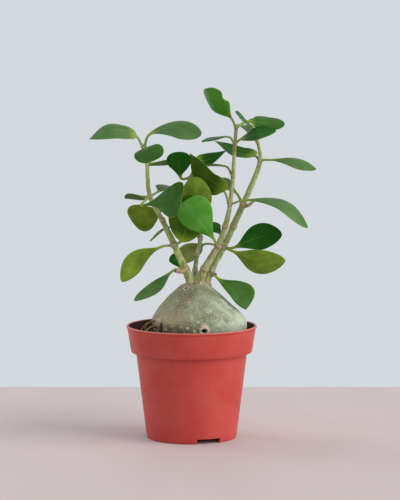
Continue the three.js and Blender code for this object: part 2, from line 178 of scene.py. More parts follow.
@dataclass
class Surface:
    """A closed mesh in mm with values painted on its points."""

    points: Array
    faces: list[list[int]]
    paint: dict[str, Array] = field(default_factory=dict)

    @classmethod
    def rings(cls, rings: Array, first: Array, last: Array,
              paint: dict[str, Array] | None = None) -> "Surface":
        """Closes a stack of rings with a pole at each end.

        Args:
            rings: points as rings by points round a ring by x, y, z.
            first: the pole before the first ring.
            last: the pole after the last ring.
            paint: values on the rings' points; a pole takes its ring's average.

        Returns:
            The surface, facing out.
        """
        count, sides = rings.shape[:2]
        points = np.vstack([rings.reshape(-1, 3), first, last])
        i = np.arange(sides)
        j = (i + 1) % sides
        k = np.arange(count - 1)[:, None] * sides
        quads = np.stack([k + i, k + j, k + sides + j, k + sides + i], -1).reshape(-1, 4)
        end = (count - 1) * sides
        pole = count * sides
        top = np.stack([np.full(sides, pole), j, i], -1)
        bottom = np.stack([np.full(sides, pole + 1), end + i, end + j], -1)
        painted = {name: np.concatenate([v.ravel(), [v[0].mean()], [v[-1].mean()]])
                   for name, v in (paint or {}).items()}
        a, b, c, d = (points[quads[:, n]] for n in range(4))
        volume = np.einsum("ij,ij->", a, np.cross(b, c)) + np.einsum("ij,ij->", a, np.cross(c, d))
        if volume < 0:
            quads, top, bottom = quads[:, ::-1], top[:, ::-1], bottom[:, ::-1]
        return cls(points, quads.tolist() + top.tolist() + bottom.tolist(), painted)

    @classmethod
    def joined(cls, parts: list["Surface"]) -> "Surface":
        """Several surfaces as one mesh, one after the other."""
        starts = np.cumsum([0] + [len(part.points) for part in parts])
        faces = [[v + int(start) for v in face] for part, start in zip(parts, starts) for face in part.faces]
        names = parts[0].paint.keys()
        paint = {name: np.concatenate([part.paint[name] for part in parts]) for name in names}
        return cls(np.vstack([part.points for part in parts]), faces, paint)

    def piece(self, name: str, place: Place, material: Material,
              sharp: float | None = None) -> bpy.types.Object:
        """Makes the Blender object.

        Args:
            name: the piece's name.
            place: carries the points into the frame.
            material: its finish.
            sharp: the angle in degrees past which an edge stays sharp, if any does.

        Returns:
            The new object, at the origin.
        """
        mesh = bpy.data.meshes.new(name)
        mesh.from_pydata(place(self.points).tolist(), [], self.faces)
        for label, values in self.paint.items():
            mesh.attributes.new(label, "FLOAT", "POINT").data.foreach_set("value", values.astype(np.float32))
        mesh.shade_smooth()
        if sharp is not None:
            mesh.set_sharp_from_angle(angle=math.radians(sharp))
        mesh.materials.append(material)
        piece = bpy.data.objects.new(name, mesh)
        bpy.context.scene.collection.objects.link(piece)
        return piece


def settle(piece: bpy.types.Object, slot: str, *nodes: str) -> None:
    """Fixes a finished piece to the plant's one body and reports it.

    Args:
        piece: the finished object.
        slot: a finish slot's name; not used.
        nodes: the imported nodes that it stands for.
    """
    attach(piece, BODY)
    if nodes:
        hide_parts(*nodes)
    LOG.info("%s: %d faces", piece.name, len(piece.data.polygons))


def tube(path: Path, radius: Array, s: Array, sides: int, paint: dict[str, Array] | None = None,
         ripple: Array | None = None) -> Surface:
    """A circle carried along a path: centre + radius * (cos a * side + sin a * up).

    The side and up directions come from one fixed direction, made square to
    the path, so they turn little from ring to ring.

    Args:
        path: the line that the circle's centre follows.
        radius: the radius at each ring.
        s: each ring's fraction of the path.
        sides: points round a ring.
        paint: values on the rings' points.
        ripple: added to the radius, rings by sides.

    Returns:
        The closed surface.
    """
    centre, along = path.at(s), path.tangent(s)
    fixed = np.array([0.0, 1.0, 0.0]) + 0 * along
    side = unit(np.cross(along, fixed))
    up = np.cross(side, along)
    angle = np.linspace(0, 2 * np.pi, sides, endpoint=False)
    reach = np.asarray(radius)[:, None] + (0 if ripple is None else ripple)
    rings = (centre[:, None] + reach[..., None] * (np.cos(angle)[None, :, None] * side[:, None]
                                                   + np.sin(angle)[None, :, None] * up[:, None]))
    return Surface.rings(rings, centre[0], centre[-1], paint)


# ----------------------------------------------------------------- materials

class Shader:
    """A node tree with short ways to add the nodes that the finishes use."""

    def __init__(self, name: str) -> None:
        """Starts a material with one Principled shader."""
        self.material = bpy.data.materials.new(name)
        self.material.use_nodes = True
        self.tree = self.material.node_tree
        self.surface = self.tree.nodes["Principled BSDF"]
        self.place = self.add("ShaderNodeTexCoord").outputs["Object"]

    def add(self, kind: str, **settings: object) -> bpy.types.Node:
        """A new node with its settings."""
        node = self.tree.nodes.new(kind)
        for name, value in settings.items():
            setattr(node, name, value)
        return node

    def feed(self, node: bpy.types.Node, socket: str | int, value: object) -> None:
        """Links a socket, or sets a number or colour on it."""
        target = node.inputs[socket]
        if isinstance(value, Socket):
            self.tree.links.new(value, target)
        elif isinstance(value, tuple) and len(value) == 3 and len(target.default_value) == 4:
            target.default_value = (*value, 1.0)
        else:
            target.default_value = value

    def set(self, **values: object) -> None:
        """Feeds the Principled shader; an underscore in a name stands for a space."""
        for name, value in values.items():
            self.feed(self.surface, name.replace("_", " "), value)

    def painted(self, name: str) -> Socket:
        """The value painted on the mesh under that name."""
        return self.add("ShaderNodeAttribute", attribute_name=name).outputs["Fac"]

    def stretched(self, scale: Point) -> Socket:
        """Object coordinates scaled along each axis."""
        node = self.add("ShaderNodeMapping")
        self.feed(node, "Vector", self.place)
        self.feed(node, "Scale", scale)
        return node.outputs["Vector"]

    def noise(self, scale: float, detail: float = 3.0, vector: object = None,
              distortion: float = 0.0) -> Socket:
        """Noise from 0 to 1, with scale in cycles per metre."""
        node = self.add("ShaderNodeTexNoise")
        self.feed(node, "Vector", vector or self.place)
        self.feed(node, "Scale", scale)
        self.feed(node, "Detail", detail)
        self.feed(node, "Distortion", distortion)
        return node.outputs["Fac"]

    def cells(self, scale: float) -> Socket:
        """Distance to the nearest of many scattered points."""
        node = self.add("ShaderNodeTexVoronoi")
        self.feed(node, "Vector", self.place)
        self.feed(node, "Scale", scale)
        return node.outputs["Distance"]

    def between(self, value: object, low: float, high: float, start: float = 0.0,
                end: float = 1.0) -> Socket:
        """Maps low..high smoothly to start..end, and holds the ends."""
        node = self.add("ShaderNodeMapRange", interpolation_type="SMOOTHSTEP")
        for socket, number in (("Value", value), ("From Min", low), ("From Max", high),
                               ("To Min", start), ("To Max", end)):
            self.feed(node, socket, number)
        return node.outputs["Result"]

    def math(self, operation: str, a: object, b: object = 0.0) -> Socket:
        """One sum of two values."""
        node = self.add("ShaderNodeMath", operation=operation)
        self.feed(node, 0, a)
        self.feed(node, 1, b)
        return node.outputs[0]

    def times(self, a: object, b: object) -> Socket:
        """The product of two values."""
        return self.math("MULTIPLY", a, b)

    def mottle(self, scale: float, detail: float, low: float, high: float, start: float = 0.0,
               end: float = 1.0, vector: object = None) -> Socket:
        """Noise whose low..high is mapped smoothly to start..end."""
        return self.between(self.noise(scale, detail, vector), low, high, start, end)

    def axis(self, index: int) -> Socket:
        """One of the object coordinates, in metres."""
        node = self.add("ShaderNodeSeparateXYZ")
        self.feed(node, 0, self.place)
        return node.outputs[index]

    def mix(self, factor: object, a: object, b: object, blend: str = "MIX") -> Socket:
        """Two colours mixed by a factor."""
        node = self.add("ShaderNodeMix", data_type="RGBA", blend_type=blend)
        self.feed(node, 0, factor)
        self.feed(node, 6, a)
        self.feed(node, 7, b)
        return node.outputs[2]

    def bump(self, height: Socket, depth: float, below: object = None) -> Socket:
        """A surface normal raised by height times depth in mm, on top of another bump."""
        node = self.add("ShaderNodeBump")
        self.feed(node, "Strength", 1.0)
        self.feed(node, "Distance", depth * MM)
        self.feed(node, "Height", height)
        if below is not None:
            self.feed(node, "Normal", below)
        return node.outputs["Normal"]


@dataclass(frozen=True)
class LeafFinish:
    """A thick waxy leaf: one colour above, one below, with a pale midrib, margin and foot."""

    name: str
    upper: Colour
    upper_dark: Colour
    under: Colour = (0.195, 0.310, 0.034)
    under_dark: Colour = (0.130, 0.228, 0.018)
    foot: Colour = (0.28, 0.42, 0.035)
    stalk: Colour = (0.30, 0.38, 0.11)
    margin: Colour = (0.26, 0.40, 0.09)
    scar: Colour = (0.30, 0.20, 0.11)  # where the stalk leaves its stem
    roughness: float = 0.40
    gloss: float = 0.13
    vein_above: float = 0.035  # how strongly the side veins show on the upper side
    vein_below: float = 0.05
    rim_share: float = 0.62
    foot_share: float = 0.75
    fleck_share: float = 0.25
    under_rougher: float = 0.16

    @staticmethod
    def veins(s: Shader, along: Socket, across: Socket) -> Socket:
        """Side veins: thin bands that lean back towards the foot as they near the margin."""
        lean, drift = 0.22, 0.1
        run = s.add("ShaderNodeCombineXYZ")
        s.feed(run, 0, s.math("SUBTRACT", along, s.times(across, lean)))
        s.feed(run, 1, s.times(across, drift))
        bands = s.add("ShaderNodeTexWave", wave_type="BANDS", bands_direction="X")
        s.feed(bands, "Vector", run.outputs[0])
        s.feed(bands, "Scale", 2.6)
        s.feed(bands, "Distortion", 1.2)
        return s.between(bands.outputs["Fac"], 0.86, 1.0)

    def material(self) -> Material:
        """Builds the material from the leaf's own across, along and under values."""
        s = Shader(self.name)
        across = s.math("ABSOLUTE", s.painted("leaf_across"))
        along, under = s.painted("leaf_along"), s.painted("leaf_under")
        vein = self.veins(s, along, across)
        above = s.mix(s.mottle(90.0, 3.0, 0.35, 0.68), self.upper, self.upper_dark)
        above = s.mix(s.times(vein, self.vein_above), above, self.margin)
        below = s.mix(s.mottle(120.0, 4.0, 0.35, 0.65), self.under, self.under_dark)
        below = s.mix(s.times(vein, self.vein_below), below, self.margin)
        colour = s.mix(under, above, below)
        midrib = s.times(s.between(across, 0.015, 0.055, 1.0, 0.0), s.between(along, 0.1, 0.9, 0.32, 0.0))
        colour = s.mix(midrib, colour, self.foot)
        colour = s.mix(s.between(across, 0.965, 1.0, 0.0, self.rim_share), colour, self.margin)
        colour = s.mix(s.between(along, 0.0, 0.24, self.foot_share, 0.0), colour, self.foot)
        colour = s.mix(s.between(along, -0.12, 0.04, 1.0, 0.0), colour, self.stalk)
        colour = s.mix(s.between(along, -1.0, -0.82, 0.8, 0.0), colour, self.scar)
        fleck = s.mix(s.noise(1500.0, 2.0), BLACK, WHITE)
        colour = s.mix(self.fleck_share, colour, fleck, "OVERLAY")
        rough = s.math("ADD", s.times(under, self.under_rougher),
                       s.mottle(160.0, 4.0, 0.2, 0.8, self.roughness - 0.06, self.roughness + 0.08))
        grain = s.bump(s.noise(2600.0, 2.0), 0.035)
        ribs = s.bump(s.times(vein, -1.0), 0.03, grain)
        s.set(Base_Color=colour, Roughness=rough, Specular_IOR_Level=self.gloss,
              Normal=s.bump(s.noise(220.0, 2.0), 0.16, ribs))
        return s.material


class Tone(Enum):
    """The finishes that the plant's leaves show, each partly the leaf's own green and partly painted light:
    the deep green is darkened for leaves that lie in shade, and the greyish green is lightened and greyed as
    a painted sheen for leaves seen at a grazing angle.
    """

    FRESH = LeafFinish("leaf_fresh_green", (0.088, 0.310, 0.034), (0.060, 0.250, 0.016),
                       roughness=0.34, gloss=0.2)
    MIDDLE = LeafFinish("leaf_middle_green", (0.040, 0.130, 0.013), (0.027, 0.098, 0.006))
    # painted shade: a darker copy of the leaf finish for leaves that lie in shade
    DEEP = LeafFinish("leaf_deep_green_shaded", (0.013, 0.112, 0.003), (0.008, 0.076, 0.002), gloss=0.1)
    # painted sheen: lighter and greyer for leaves that catch a grazing reflection
    GREYISH = LeafFinish("leaf_greyish_green_sheen", (0.082, 0.182, 0.042), (0.054, 0.148, 0.020),
                         roughness=0.48, gloss=0.35)
    OLIVE = LeafFinish("leaf_olive_green", (0.052, 0.125, 0.010), (0.034, 0.095, 0.005),
                       under=(0.066, 0.160, 0.003), under_dark=(0.042, 0.115, 0.001))
    PALE = LeafFinish("leaf_pale_underside", (0.040, 0.130, 0.013), (0.027, 0.098, 0.006),
                      under=(0.31, 0.35, 0.11), under_dark=(0.22, 0.27, 0.05))


@dataclass(frozen=True)
class BarkFinish:
    """Young bark: green and pale streaks with browner patches, corky rings and dark cracks."""

    name: str
    green: Colour
    brown: Colour
    pale: Colour = (0.46, 0.53, 0.22)
    scar: Colour = (0.52, 0.36, 0.27)
    crack: Colour = (0.060, 0.038, 0.018)

    def material(self) -> Material:
        """Builds the material from noise drawn out along the stem and the painted scars."""
        s = Shader(self.name)
        lines = s.mottle(620.0, 4.0, 0.42, 0.66, vector=s.stretched((1.0, 1.0, 0.22)))
        streaks = s.mottle(260.0, 5.0, 0.50, 0.66, 0.0, 0.75, s.stretched((1.0, 1.0, 0.35)))
        colour = s.mix(streaks, s.mix(lines, self.green, self.pale), self.brown)
        scarred = s.times(s.painted("stem_scar"), s.mottle(700.0, 3.0, 0.3, 0.55))
        colour = s.mix(scarred, colour, self.scar)
        colour = s.mix(s.painted("stem_dark"), colour, self.crack)
        speck = s.between(s.cells(1100.0), 0.10, 0.22, 0.45, 0.0)
        colour = s.mix(speck, colour, self.brown)
        bumps = s.bump(s.noise(900.0, 4.0, s.stretched((1.0, 1.0, 0.3))), 0.18)
        s.set(Base_Color=colour, Roughness=s.mottle(500.0, 3.0, 0.2, 0.8, 0.5, 0.72),
              Specular_IOR_Level=0.15, Normal=bumps)
        return s.material


@dataclass(frozen=True)
class CaudexFinish:
    """Smooth grey-green skin with beige patches, painted light that turns its right side pale green in
    patches, fine speckle, corky scars and painted shade in its holes and crease.
    """

    sage: Colour = (0.295, 0.330, 0.195)
    dark_sage: Colour = (0.150, 0.165, 0.085)
    beige: Colour = (0.380, 0.300, 0.175)
    # painted light: the right side, where the key light falls, turns this pale green
    lit_mint: Colour = (0.470, 0.560, 0.430)
    cork: Colour = (0.560, 0.400, 0.300)
    cream: Colour = (0.720, 0.660, 0.480)
    lower_left_brown: Colour = (0.170, 0.105, 0.045)
    # darker brown low on the left side, just above the soil
    fleck: Colour = (0.125, 0.100, 0.055)
    pore: Colour = (0.160, 0.150, 0.090)
    # painted shade: near black in the holes and along the crease
    hole_and_crease_shade: Colour = (0.020, 0.006, 0.005)
    soil_line: float = 0.076  # metres above the ground, where the skin is brownest

    def material(self) -> Material:
        """Builds the material: broad patches and painted light on the right side, then speckle, then the
        painted scars and the painted shade in the holes and the crease.
        """
        s = Shader("caudex_skin")
        x, z = s.axis(0), s.axis(2)
        broad = s.between(s.noise(55.0, 4.0, None, 0.6), 0.38, 0.62)
        colour = s.mix(broad, self.sage, self.dark_sage)
        # painted light: pale green grows towards +x, the side that the key light falls on
        right = s.math("ADD", s.times(x, 22.0), s.mottle(80.0, 3.0, 0.3, 0.7, -0.35, 0.35))
        colour = s.mix(s.between(right, -0.05, 0.75, 0.0, 0.85), colour, self.lit_mint)
        left = s.math("SUBTRACT", s.mottle(110.0, 4.0, 0.3, 0.7, -0.3, 0.4), s.times(x, 26.0))
        low = s.between(z, self.soil_line, self.soil_line + 0.028, 1.0, 0.5)
        colour = s.mix(s.times(s.between(left, 0.05, 0.9, 0.0, 0.92), low), colour, self.beige)
        # darker brown low on the left side, just above the soil
        lower_left = s.times(s.between(z, self.soil_line, self.soil_line + 0.012, 1.0, 0.0),
                             s.between(x, -0.006, 0.006, 1.0, 0.0))
        lower_left_darkening = s.times(s.mottle(210.0, 4.0, 0.46, 0.60, 0.0, 0.75), lower_left)
        colour = s.mix(lower_left_darkening, colour, self.lower_left_brown)
        pale = s.mottle(900.0, 3.0, 0.53, 0.66, 0.0, 0.34, s.stretched((1.0, 1.0, 0.6)))
        colour = s.mix(pale, colour, self.cream)
        colour = s.mix(s.mottle(1250.0, 2.0, 0.60, 0.70, 0.0, 0.6), colour, self.fleck)
        colour = s.mix(s.between(s.cells(1700.0), 0.05, 0.2, 0.35, 0.0), colour, self.pore)
        cork = s.mix(s.mottle(800.0, 3.0, 0.35, 0.65), self.cork, self.cream)
        colour = s.mix(s.painted("caudex_cork"), colour, cork)
        # painted shade in the holes and the crease
        colour = s.mix(s.painted("caudex_hole"), colour, self.hole_and_crease_shade)
        lumps = s.bump(s.noise(300.0, 4.0), 0.35)
        s.set(Base_Color=colour, Roughness=s.mottle(400.0, 3.0, 0.2, 0.8, 0.48, 0.7),
              Specular_IOR_Level=0.18, Normal=s.bump(s.noise(1600.0, 3.0), 0.10, lumps))
        return s.material


@dataclass(frozen=True)
class PlasticFinish:
    """Thin terracotta plastic: matte, with faint moulding rings, scuffs, painted shade that darkens its
    inside and a painted highlight along its lip.
    """

    colour: Colour = (0.500, 0.053, 0.040)
    lighter: Colour = (0.540, 0.075, 0.058)
    # painted shade: the same plastic, darkened where it lies inside the pot
    inside: Colour = (0.050, 0.005, 0.005)
    dust: Colour = (0.62, 0.36, 0.29)
    # painted highlight along the top of the rolled lip
    lip: Colour = (0.66, 0.20, 0.16)
    roughness: float = 0.46

    def material(self) -> Material:
        """Builds the material from broad mottling, moulding rings, the painted shade inside and the painted
        highlight on the lip.
        """
        s = Shader("pot_plastic")
        colour = s.mix(s.mottle(45.0, 5.0, 0.35, 0.7), self.colour, self.lighter)
        colour = s.mix(s.mottle(700.0, 5.0, 0.58, 0.74, 0.0, 0.08), colour, self.dust)
        # painted shade darkens the inside; a painted highlight lightens the top of the lip
        colour = s.mix(s.painted("pot_inside"), colour, self.inside)
        colour = s.mix(s.painted("pot_lip"), colour, self.lip)
        rings = s.noise(1.0, 2.0, s.stretched((0.01, 0.01, 900.0)))
        scuffs = s.mottle(150.0, 6.0, 0.35, 0.72, self.roughness - 0.05, self.roughness + 0.12)
        fine = s.bump(s.noise(3200.0, 2.0), 0.02)
        s.set(Base_Color=colour, Roughness=scuffs, Specular_IOR_Level=0.3,
              Normal=s.bump(rings, 0.05, fine))
        return s.material


@dataclass(frozen=True)
class EarthFinish:
    """Potting mix or what lies on it: one colour broken up by grain, rough and bumpy."""

    name: str
    dark: Colour
    light: Colour
    grain: float = 900.0
    depth: float = 0.5

    def material(self) -> Material:
        """Builds the material from two sizes of grain."""
        s = Shader(self.name)
        colour = s.mix(s.mottle(self.grain, 5.0, 0.35, 0.7), self.dark, self.light)
        colour = s.mix(s.mottle(self.grain * 3.1, 2.0, 0.62, 0.75, 0.0, 0.4), colour, self.light)
        s.set(Base_Color=colour, Roughness=s.mottle(self.grain, 3.0, 0.2, 0.8, 0.78, 0.96),
              Specular_IOR_Level=0.2, Normal=s.bump(s.noise(self.grain * 1.5, 4.0), self.depth))
        return s.material


# ----------------------------------------------------------------------- pot

@dataclass
class Pot:
    """The thin plastic nursery pot: rolled lip, banded collar, tapered body and notched foot."""

    place: Place
    height: float = 78.0
    rim: float = 45.0
    band_top: float = 44.1
    band_bottom: float = 41.8
    band_foot: float = 59.6
    body_top: float = 38.4
    body_bottom: float = 31.0
    wall: float = 1.0
    floor: float = 4.2
    floor_top: float = 5.3
    foot_inside: float = 29.2
    notch_angles: tuple[float, ...] = (-67.0, 53.0, 173.0)
    notch_width: float = 17.0
    notch_height: float = 3.4
    roll: float = 0.85  # the rolled lip's radius
    middle: float = 0.4  # the radius of the floor's innermost rows
    finish: PlasticFinish = PlasticFinish()

    def body_radius(self, z: float) -> float:
        """The body's outer radius, straight from its foot to the band."""
        return self.body_bottom + (self.body_top - self.body_bottom) * z / self.band_foot

    def profile(self) -> Array:
        """The wall's outline from the floor's underside, up the outside and down the inside.

        Returns:
            Rows of radius, height, how much the row takes the painted shade of the inside, and how much it
            takes the painted highlight on the lip.
        """
        inside, outside, foot = self.foot_inside, self.body_bottom, self.band_foot
        low = [(self.middle, self.floor, 0, 0), (inside - 0.5, self.floor, 0, 0),
               (inside, self.floor - 0.3, 0, 0), (inside, 0.3, 0, 0), (inside + 0.25, 0.0, 0, 0),
               (outside - 1.0, 0.0, 0, 0), (outside - 0.3, 0.25, 0, 0), (outside, 0.8, 0, 0)]
        rise = [(self.body_radius(z), z, 0, 0) for z in np.linspace(self.notch_height, foot - 2.2, 12)]
        throat = [(self.body_top - 0.2, foot - 1.0, 0, 0), (self.body_top - 0.15, foot - 0.3, 0, 0),
                  (self.body_top + 0.3, foot, 0, 0), (self.band_bottom - 0.9, foot, 0, 0),
                  (self.band_bottom - 0.3, foot + 0.15, 0, 0), (self.band_bottom, foot + 0.7, 0, 0)]
        band_low, band_high = foot + 0.7, self.height - 3.4
        band = [(self.band_bottom + (self.band_top - self.band_bottom) * u,
                 band_low + (band_high - band_low) * u, 0, 0) for u in np.linspace(0.15, 1.0, 7)]
        turn = np.linspace(-0.5 * np.pi, 1.1 * np.pi, 14)
        centre = self.rim - self.roll
        # each lip row's share of the painted shade inside and of the painted highlight on its top
        lip = [(centre + self.roll * math.cos(a), self.height - self.roll + self.roll * math.sin(a),
                float(smoothstep(np.array(-math.cos(a)), 0.1, 0.7)),
                float(smoothstep(np.array(math.sin(a)), 0.2, 0.9))) for a in turn]
        # the inner rows take the painted shade in full
        inner = [(self.band_top - self.wall, self.height - 2.4, 1, 0),
                 (self.band_bottom - self.wall + 1.2, self.height - 8.0, 1, 0),
                 (self.band_bottom - self.wall, foot + 1.3, 1, 0),
                 (self.body_top - self.wall, foot + 0.9, 1, 0),
                 (self.body_radius(self.floor_top) - self.wall, self.floor_top, 1, 0),
                 (self.middle, self.floor_top, 1, 0)]
        return np.array(low + rise + throat + band + lip + inner, float)

    def surface(self) -> Surface:
        """Turns the profile about the axis; rows of the foot rise to the notch's height inside a notch."""
        edge = math.degrees(math.asin(self.notch_width / 2 / self.body_bottom))
        plain = np.linspace(0, 360, 216, endpoint=False)
        side = 0.12  # degrees that a notch's side takes up
        near = np.concatenate([[n - edge - side, n - edge, n + edge, n + edge + side]
                               for n in self.notch_angles])
        angle = np.unique(np.round(np.concatenate([plain, near % 360]), 4))
        rows = self.profile()
        apart = np.min([np.abs((angle - n + 180) % 360 - 180) for n in self.notch_angles], axis=0)
        notched = apart <= edge + 1e-3
        radius, z = rows[:, :1], rows[:, 1:2]
        foot = (z < self.notch_height) & (radius > self.foot_inside - 0.1)
        height = np.where(foot & notched[None, :], self.notch_height, z)
        turn = np.radians(angle)[None, :]
        rings = np.stack([radius * np.cos(turn), radius * np.sin(turn), height], -1)
        ones = np.ones_like(turn)
        # the shares of painted shade and painted highlight, painted on the points
        paint = {"pot_inside": rows[:, 2:3] * ones, "pot_lip": rows[:, 3:4] * ones}
        return Surface.rings(rings, np.array([0, 0, self.floor]), np.array([0, 0, self.floor_top]), paint)

    def build(self) -> None:
        """Makes the pot."""
        piece = self.surface().piece("nursery_pot", self.place, self.finish.material(), 32.0)
        settle(piece, "pot_plastic", "pot")


# -------------------------------------------------------------------- caudex

@dataclass(frozen=True)
class Mark:
    """A corky spot or a hole in the caudex."""

    at: Point
    size: float
    rise: float
    hole: float = 0.0  # the hole's radius, or 0 for a spot


@dataclass
class Caudex:
    """The swollen, smooth base of the plant, narrowing to a crown under the stems."""

    place: Place
    sections: tuple[Point, ...] = (  # height, radius and sideways lean, from the crown down
        (106.0, 7.5, 2.0), (104.6, 10.8, 1.7), (101.5, 14.8, 2.0), (97.6, 19.1, 2.7), (93.0, 24.0, 3.5),
        (88.0, 28.9, 4.4), (82.0, 32.6, 5.0), (76.0, 31.8, 5.6), (69.5, 30.0, 6.4), (63.0, 26.4, 6.4),
        (57.0, 19.2, 6.2), (53.5, 9.4, 6.0))
    top: float = 106.4
    bottom: float = 52.3
    rows: int = 190
    sides: int = 380
    heart: Point = (4.5, 0.0, 82.0)  # a place inside it, which its skin faces away from
    crown: tuple[float, float] = (3.6, 0.6)  # the middle of the stems' feet, seen from above
    mound: float = 2.6  # how far the skin rises there
    crease_depth: float = 2.0
    spots: int = 90  # small ones, strewn at random
    marks: tuple[Mark, ...] = (
        Mark((8.6, -30.0, 78.6), 3.3, 1.15, 1.75), Mark((-4.2, -9.0, 105.2), 0.9, 0.1, 1.15),
        Mark((13.3, -27.0, 93.2), 1.5, 0.75), Mark((11.4, -28.0, 92.0), 0.9, 0.4),
        Mark((-2.4, -29.0, 79.8), 1.6, 0.9), Mark((0.4, -29.0, 85.0), 1.1, 0.6),
        Mark((4.4, -30.0, 83.2), 1.2, 0.7), Mark((2.0, -30.0, 78.0), 1.5, 0.7),
        Mark((34.0, -14.0, 83.5), 1.8, 0.6), Mark((35.0, -12.0, 79.5), 1.9, 0.7),
        Mark((-11.9, -20.0, 100.6), 0.9, 0.3), Mark((-22.0, -18.0, 83.5), 1.8, 0.5),
        Mark((-17.5, -24.0, 78.0), 1.6, 0.6), Mark((14.0, 30.0, 80.0), 2.4, 1.0, 1.3),
        Mark((-20.0, 20.0, 86.0), 1.5, 0.7))
    finish: CaudexFinish = CaudexFinish()

    def base(self) -> tuple[Array, Array]:
        """The smooth body: circles whose radius and lean follow the sections' curve, with two low lobes.

        Returns:
            The rings' points, and each ring's height.
        """
        tip = 0.05  # the radius that both ends close to
        top = (self.top, tip, self.sections[0][2])
        bottom = (self.bottom, tip, self.sections[-1][2])
        path = Path(np.array([top, *self.sections, bottom]))
        z, radius, lean = path.at(np.linspace(0.004, 0.996, self.rows)).T
        angle = np.linspace(0, 2 * np.pi, self.sides, endpoint=False)
        radius = np.maximum(radius, 0.06)[:, None]
        low = smoothstep(95.0 - z, 0, 20)[:, None]
        lobe = np.maximum(0, np.cos(angle - math.radians(215))) ** 6
        lobe = lobe + 0.8 * np.maximum(0, np.cos(angle - math.radians(80))) ** 8
        radius = radius + 1.2 * low * lobe[None, :]
        rings = np.stack([lean[:, None] + radius * np.cos(angle), radius * np.sin(angle),
                          z[:, None] + 0 * radius], -1)
        return rings, z

    def marked(self, rings: Array) -> tuple[Array, Array, Array]:
        """The marks: a bell for each spot, and a ring round a sunken middle for each hole.

        Args:
            rings: the smooth body's points.

        Returns:
            How far each point moves outwards, how corky it is, and how much it is in a hole, where painted
            shade goes.
        """
        move, cork, hole = (np.zeros(rings.shape[:2]) for _ in range(3))
        for mark in self.marks + self.scattered():
            apart = np.linalg.norm(rings - self.on_skin(rings, mark.at), axis=-1)
            apart = apart + 0.22 * mark.size * lattice_noise(rings, 1.4, 6)
            if mark.hole:
                move = move + mark.rise * bell(apart - mark.hole * 1.35, mark.size * 0.42)
                move = move - 3.2 * mark.hole * (1 - smoothstep(apart, mark.hole * 0.35, mark.hole * 1.15))
                hole = np.maximum(hole, 1 - smoothstep(apart, mark.hole * 0.75, mark.hole * 1.2))
                cork = np.maximum(cork, bell(apart - mark.hole * 1.4, mark.size * 0.5))
            else:
                move = move + mark.rise * bell(apart, mark.size * 0.7)
                cork = np.maximum(cork, 0.95 * bell(apart, mark.size * 0.75))
        return move, cork, hole

    @staticmethod
    def crease(rings: Array) -> Array:
        """How much each point is in the crease beside the root at the lower left, from 0 to 1."""
        x, y, z = np.moveaxis(rings, -1, 0)
        foot, lean, depth, top = -21.5, 0.10, 3.0, 83.5
        apart = np.abs(x - foot - lean * (z - 76)) + depth * (y > 0)
        return bell(apart, 0.8) * smoothstep(top - z, 0, 3.5)

    def surface(self) -> Surface:
        """The body moved out and in along its own outward direction.

        The moves added are: two sizes of noise and faint upright folds, which
        fade towards the crown; the marks; one crease; and a mound, upwards,
        under the stems.
        """
        rings, z = self.base()
        around = np.roll(rings, -1, 1) - np.roll(rings, 1, 1)
        down = np.gradient(rings, axis=0)
        out = unit(np.cross(around, down))
        out = out * np.sign((out * (rings - np.array(self.heart))).sum(-1).mean())
        crown = np.linalg.norm(rings[..., :2] - np.array(self.crown), axis=-1)
        move = 0.75 * lattice_noise(rings, 15.0, 3) + 0.22 * lattice_noise(rings, 5.5, 4)
        move = move + 0.10 * lattice_noise(rings * np.array([1, 1, 0.25]), 2.4, 5)
        move = move * smoothstep(crown, 4.0, 14.0)
        marked, cork, hole = self.marked(rings)
        crease = self.crease(rings)
        # the crease takes the same painted shade as the holes
        hole = np.maximum(hole, 0.85 * smoothstep(crease, 0.25, 0.8))
        rings = rings + out * (move + marked - self.crease_depth * crease)[..., None]
        rings[..., 2] += self.mound * bell(crown, 7.0) * (rings[..., 2] > 90)
        cork = np.maximum(cork, 0.55 * bell(crown, 8.5) * (z > 98)[:, None])
        # the painted shade for the holes and the crease rides on the points
        paint = {"caudex_cork": cork, "caudex_hole": hole}
        return Surface.rings(rings, rings[0].mean(0), rings[-1].mean(0), paint)

    @staticmethod
    def on_skin(rings: Array, at: Point) -> Array:
        """The point of the smooth body nearest to a place."""
        flat = rings.reshape(-1, 3)
        return flat[np.argmin(((flat - np.array(at)) ** 2).sum(-1))]

    def scattered(self) -> tuple[Mark, ...]:
        """Small corky spots strewn over the part above the soil, thicker near it."""
        rng = np.random.default_rng(11)
        turn = rng.uniform(0, 2 * np.pi, self.spots)
        height = 74 + 26 * rng.uniform(0, 1, self.spots) ** 1.8
        heights, radii, _ = np.array(self.sections[::-1]).T
        radius = np.interp(height, heights, radii)
        size = rng.uniform(0.35, 0.85, self.spots)
        return tuple(Mark((5 + r * math.cos(t), r * math.sin(t), h), s, 0.35 * s)
                     for t, h, r, s in zip(turn, height, radius, size))

    def build(self) -> None:
        """Makes the caudex."""
        piece = self.surface().piece("caudex_body", self.place, self.finish.material())
        settle(piece, "caudex_skin", "caudex")


# ---------------------------------------------------------------------- soil

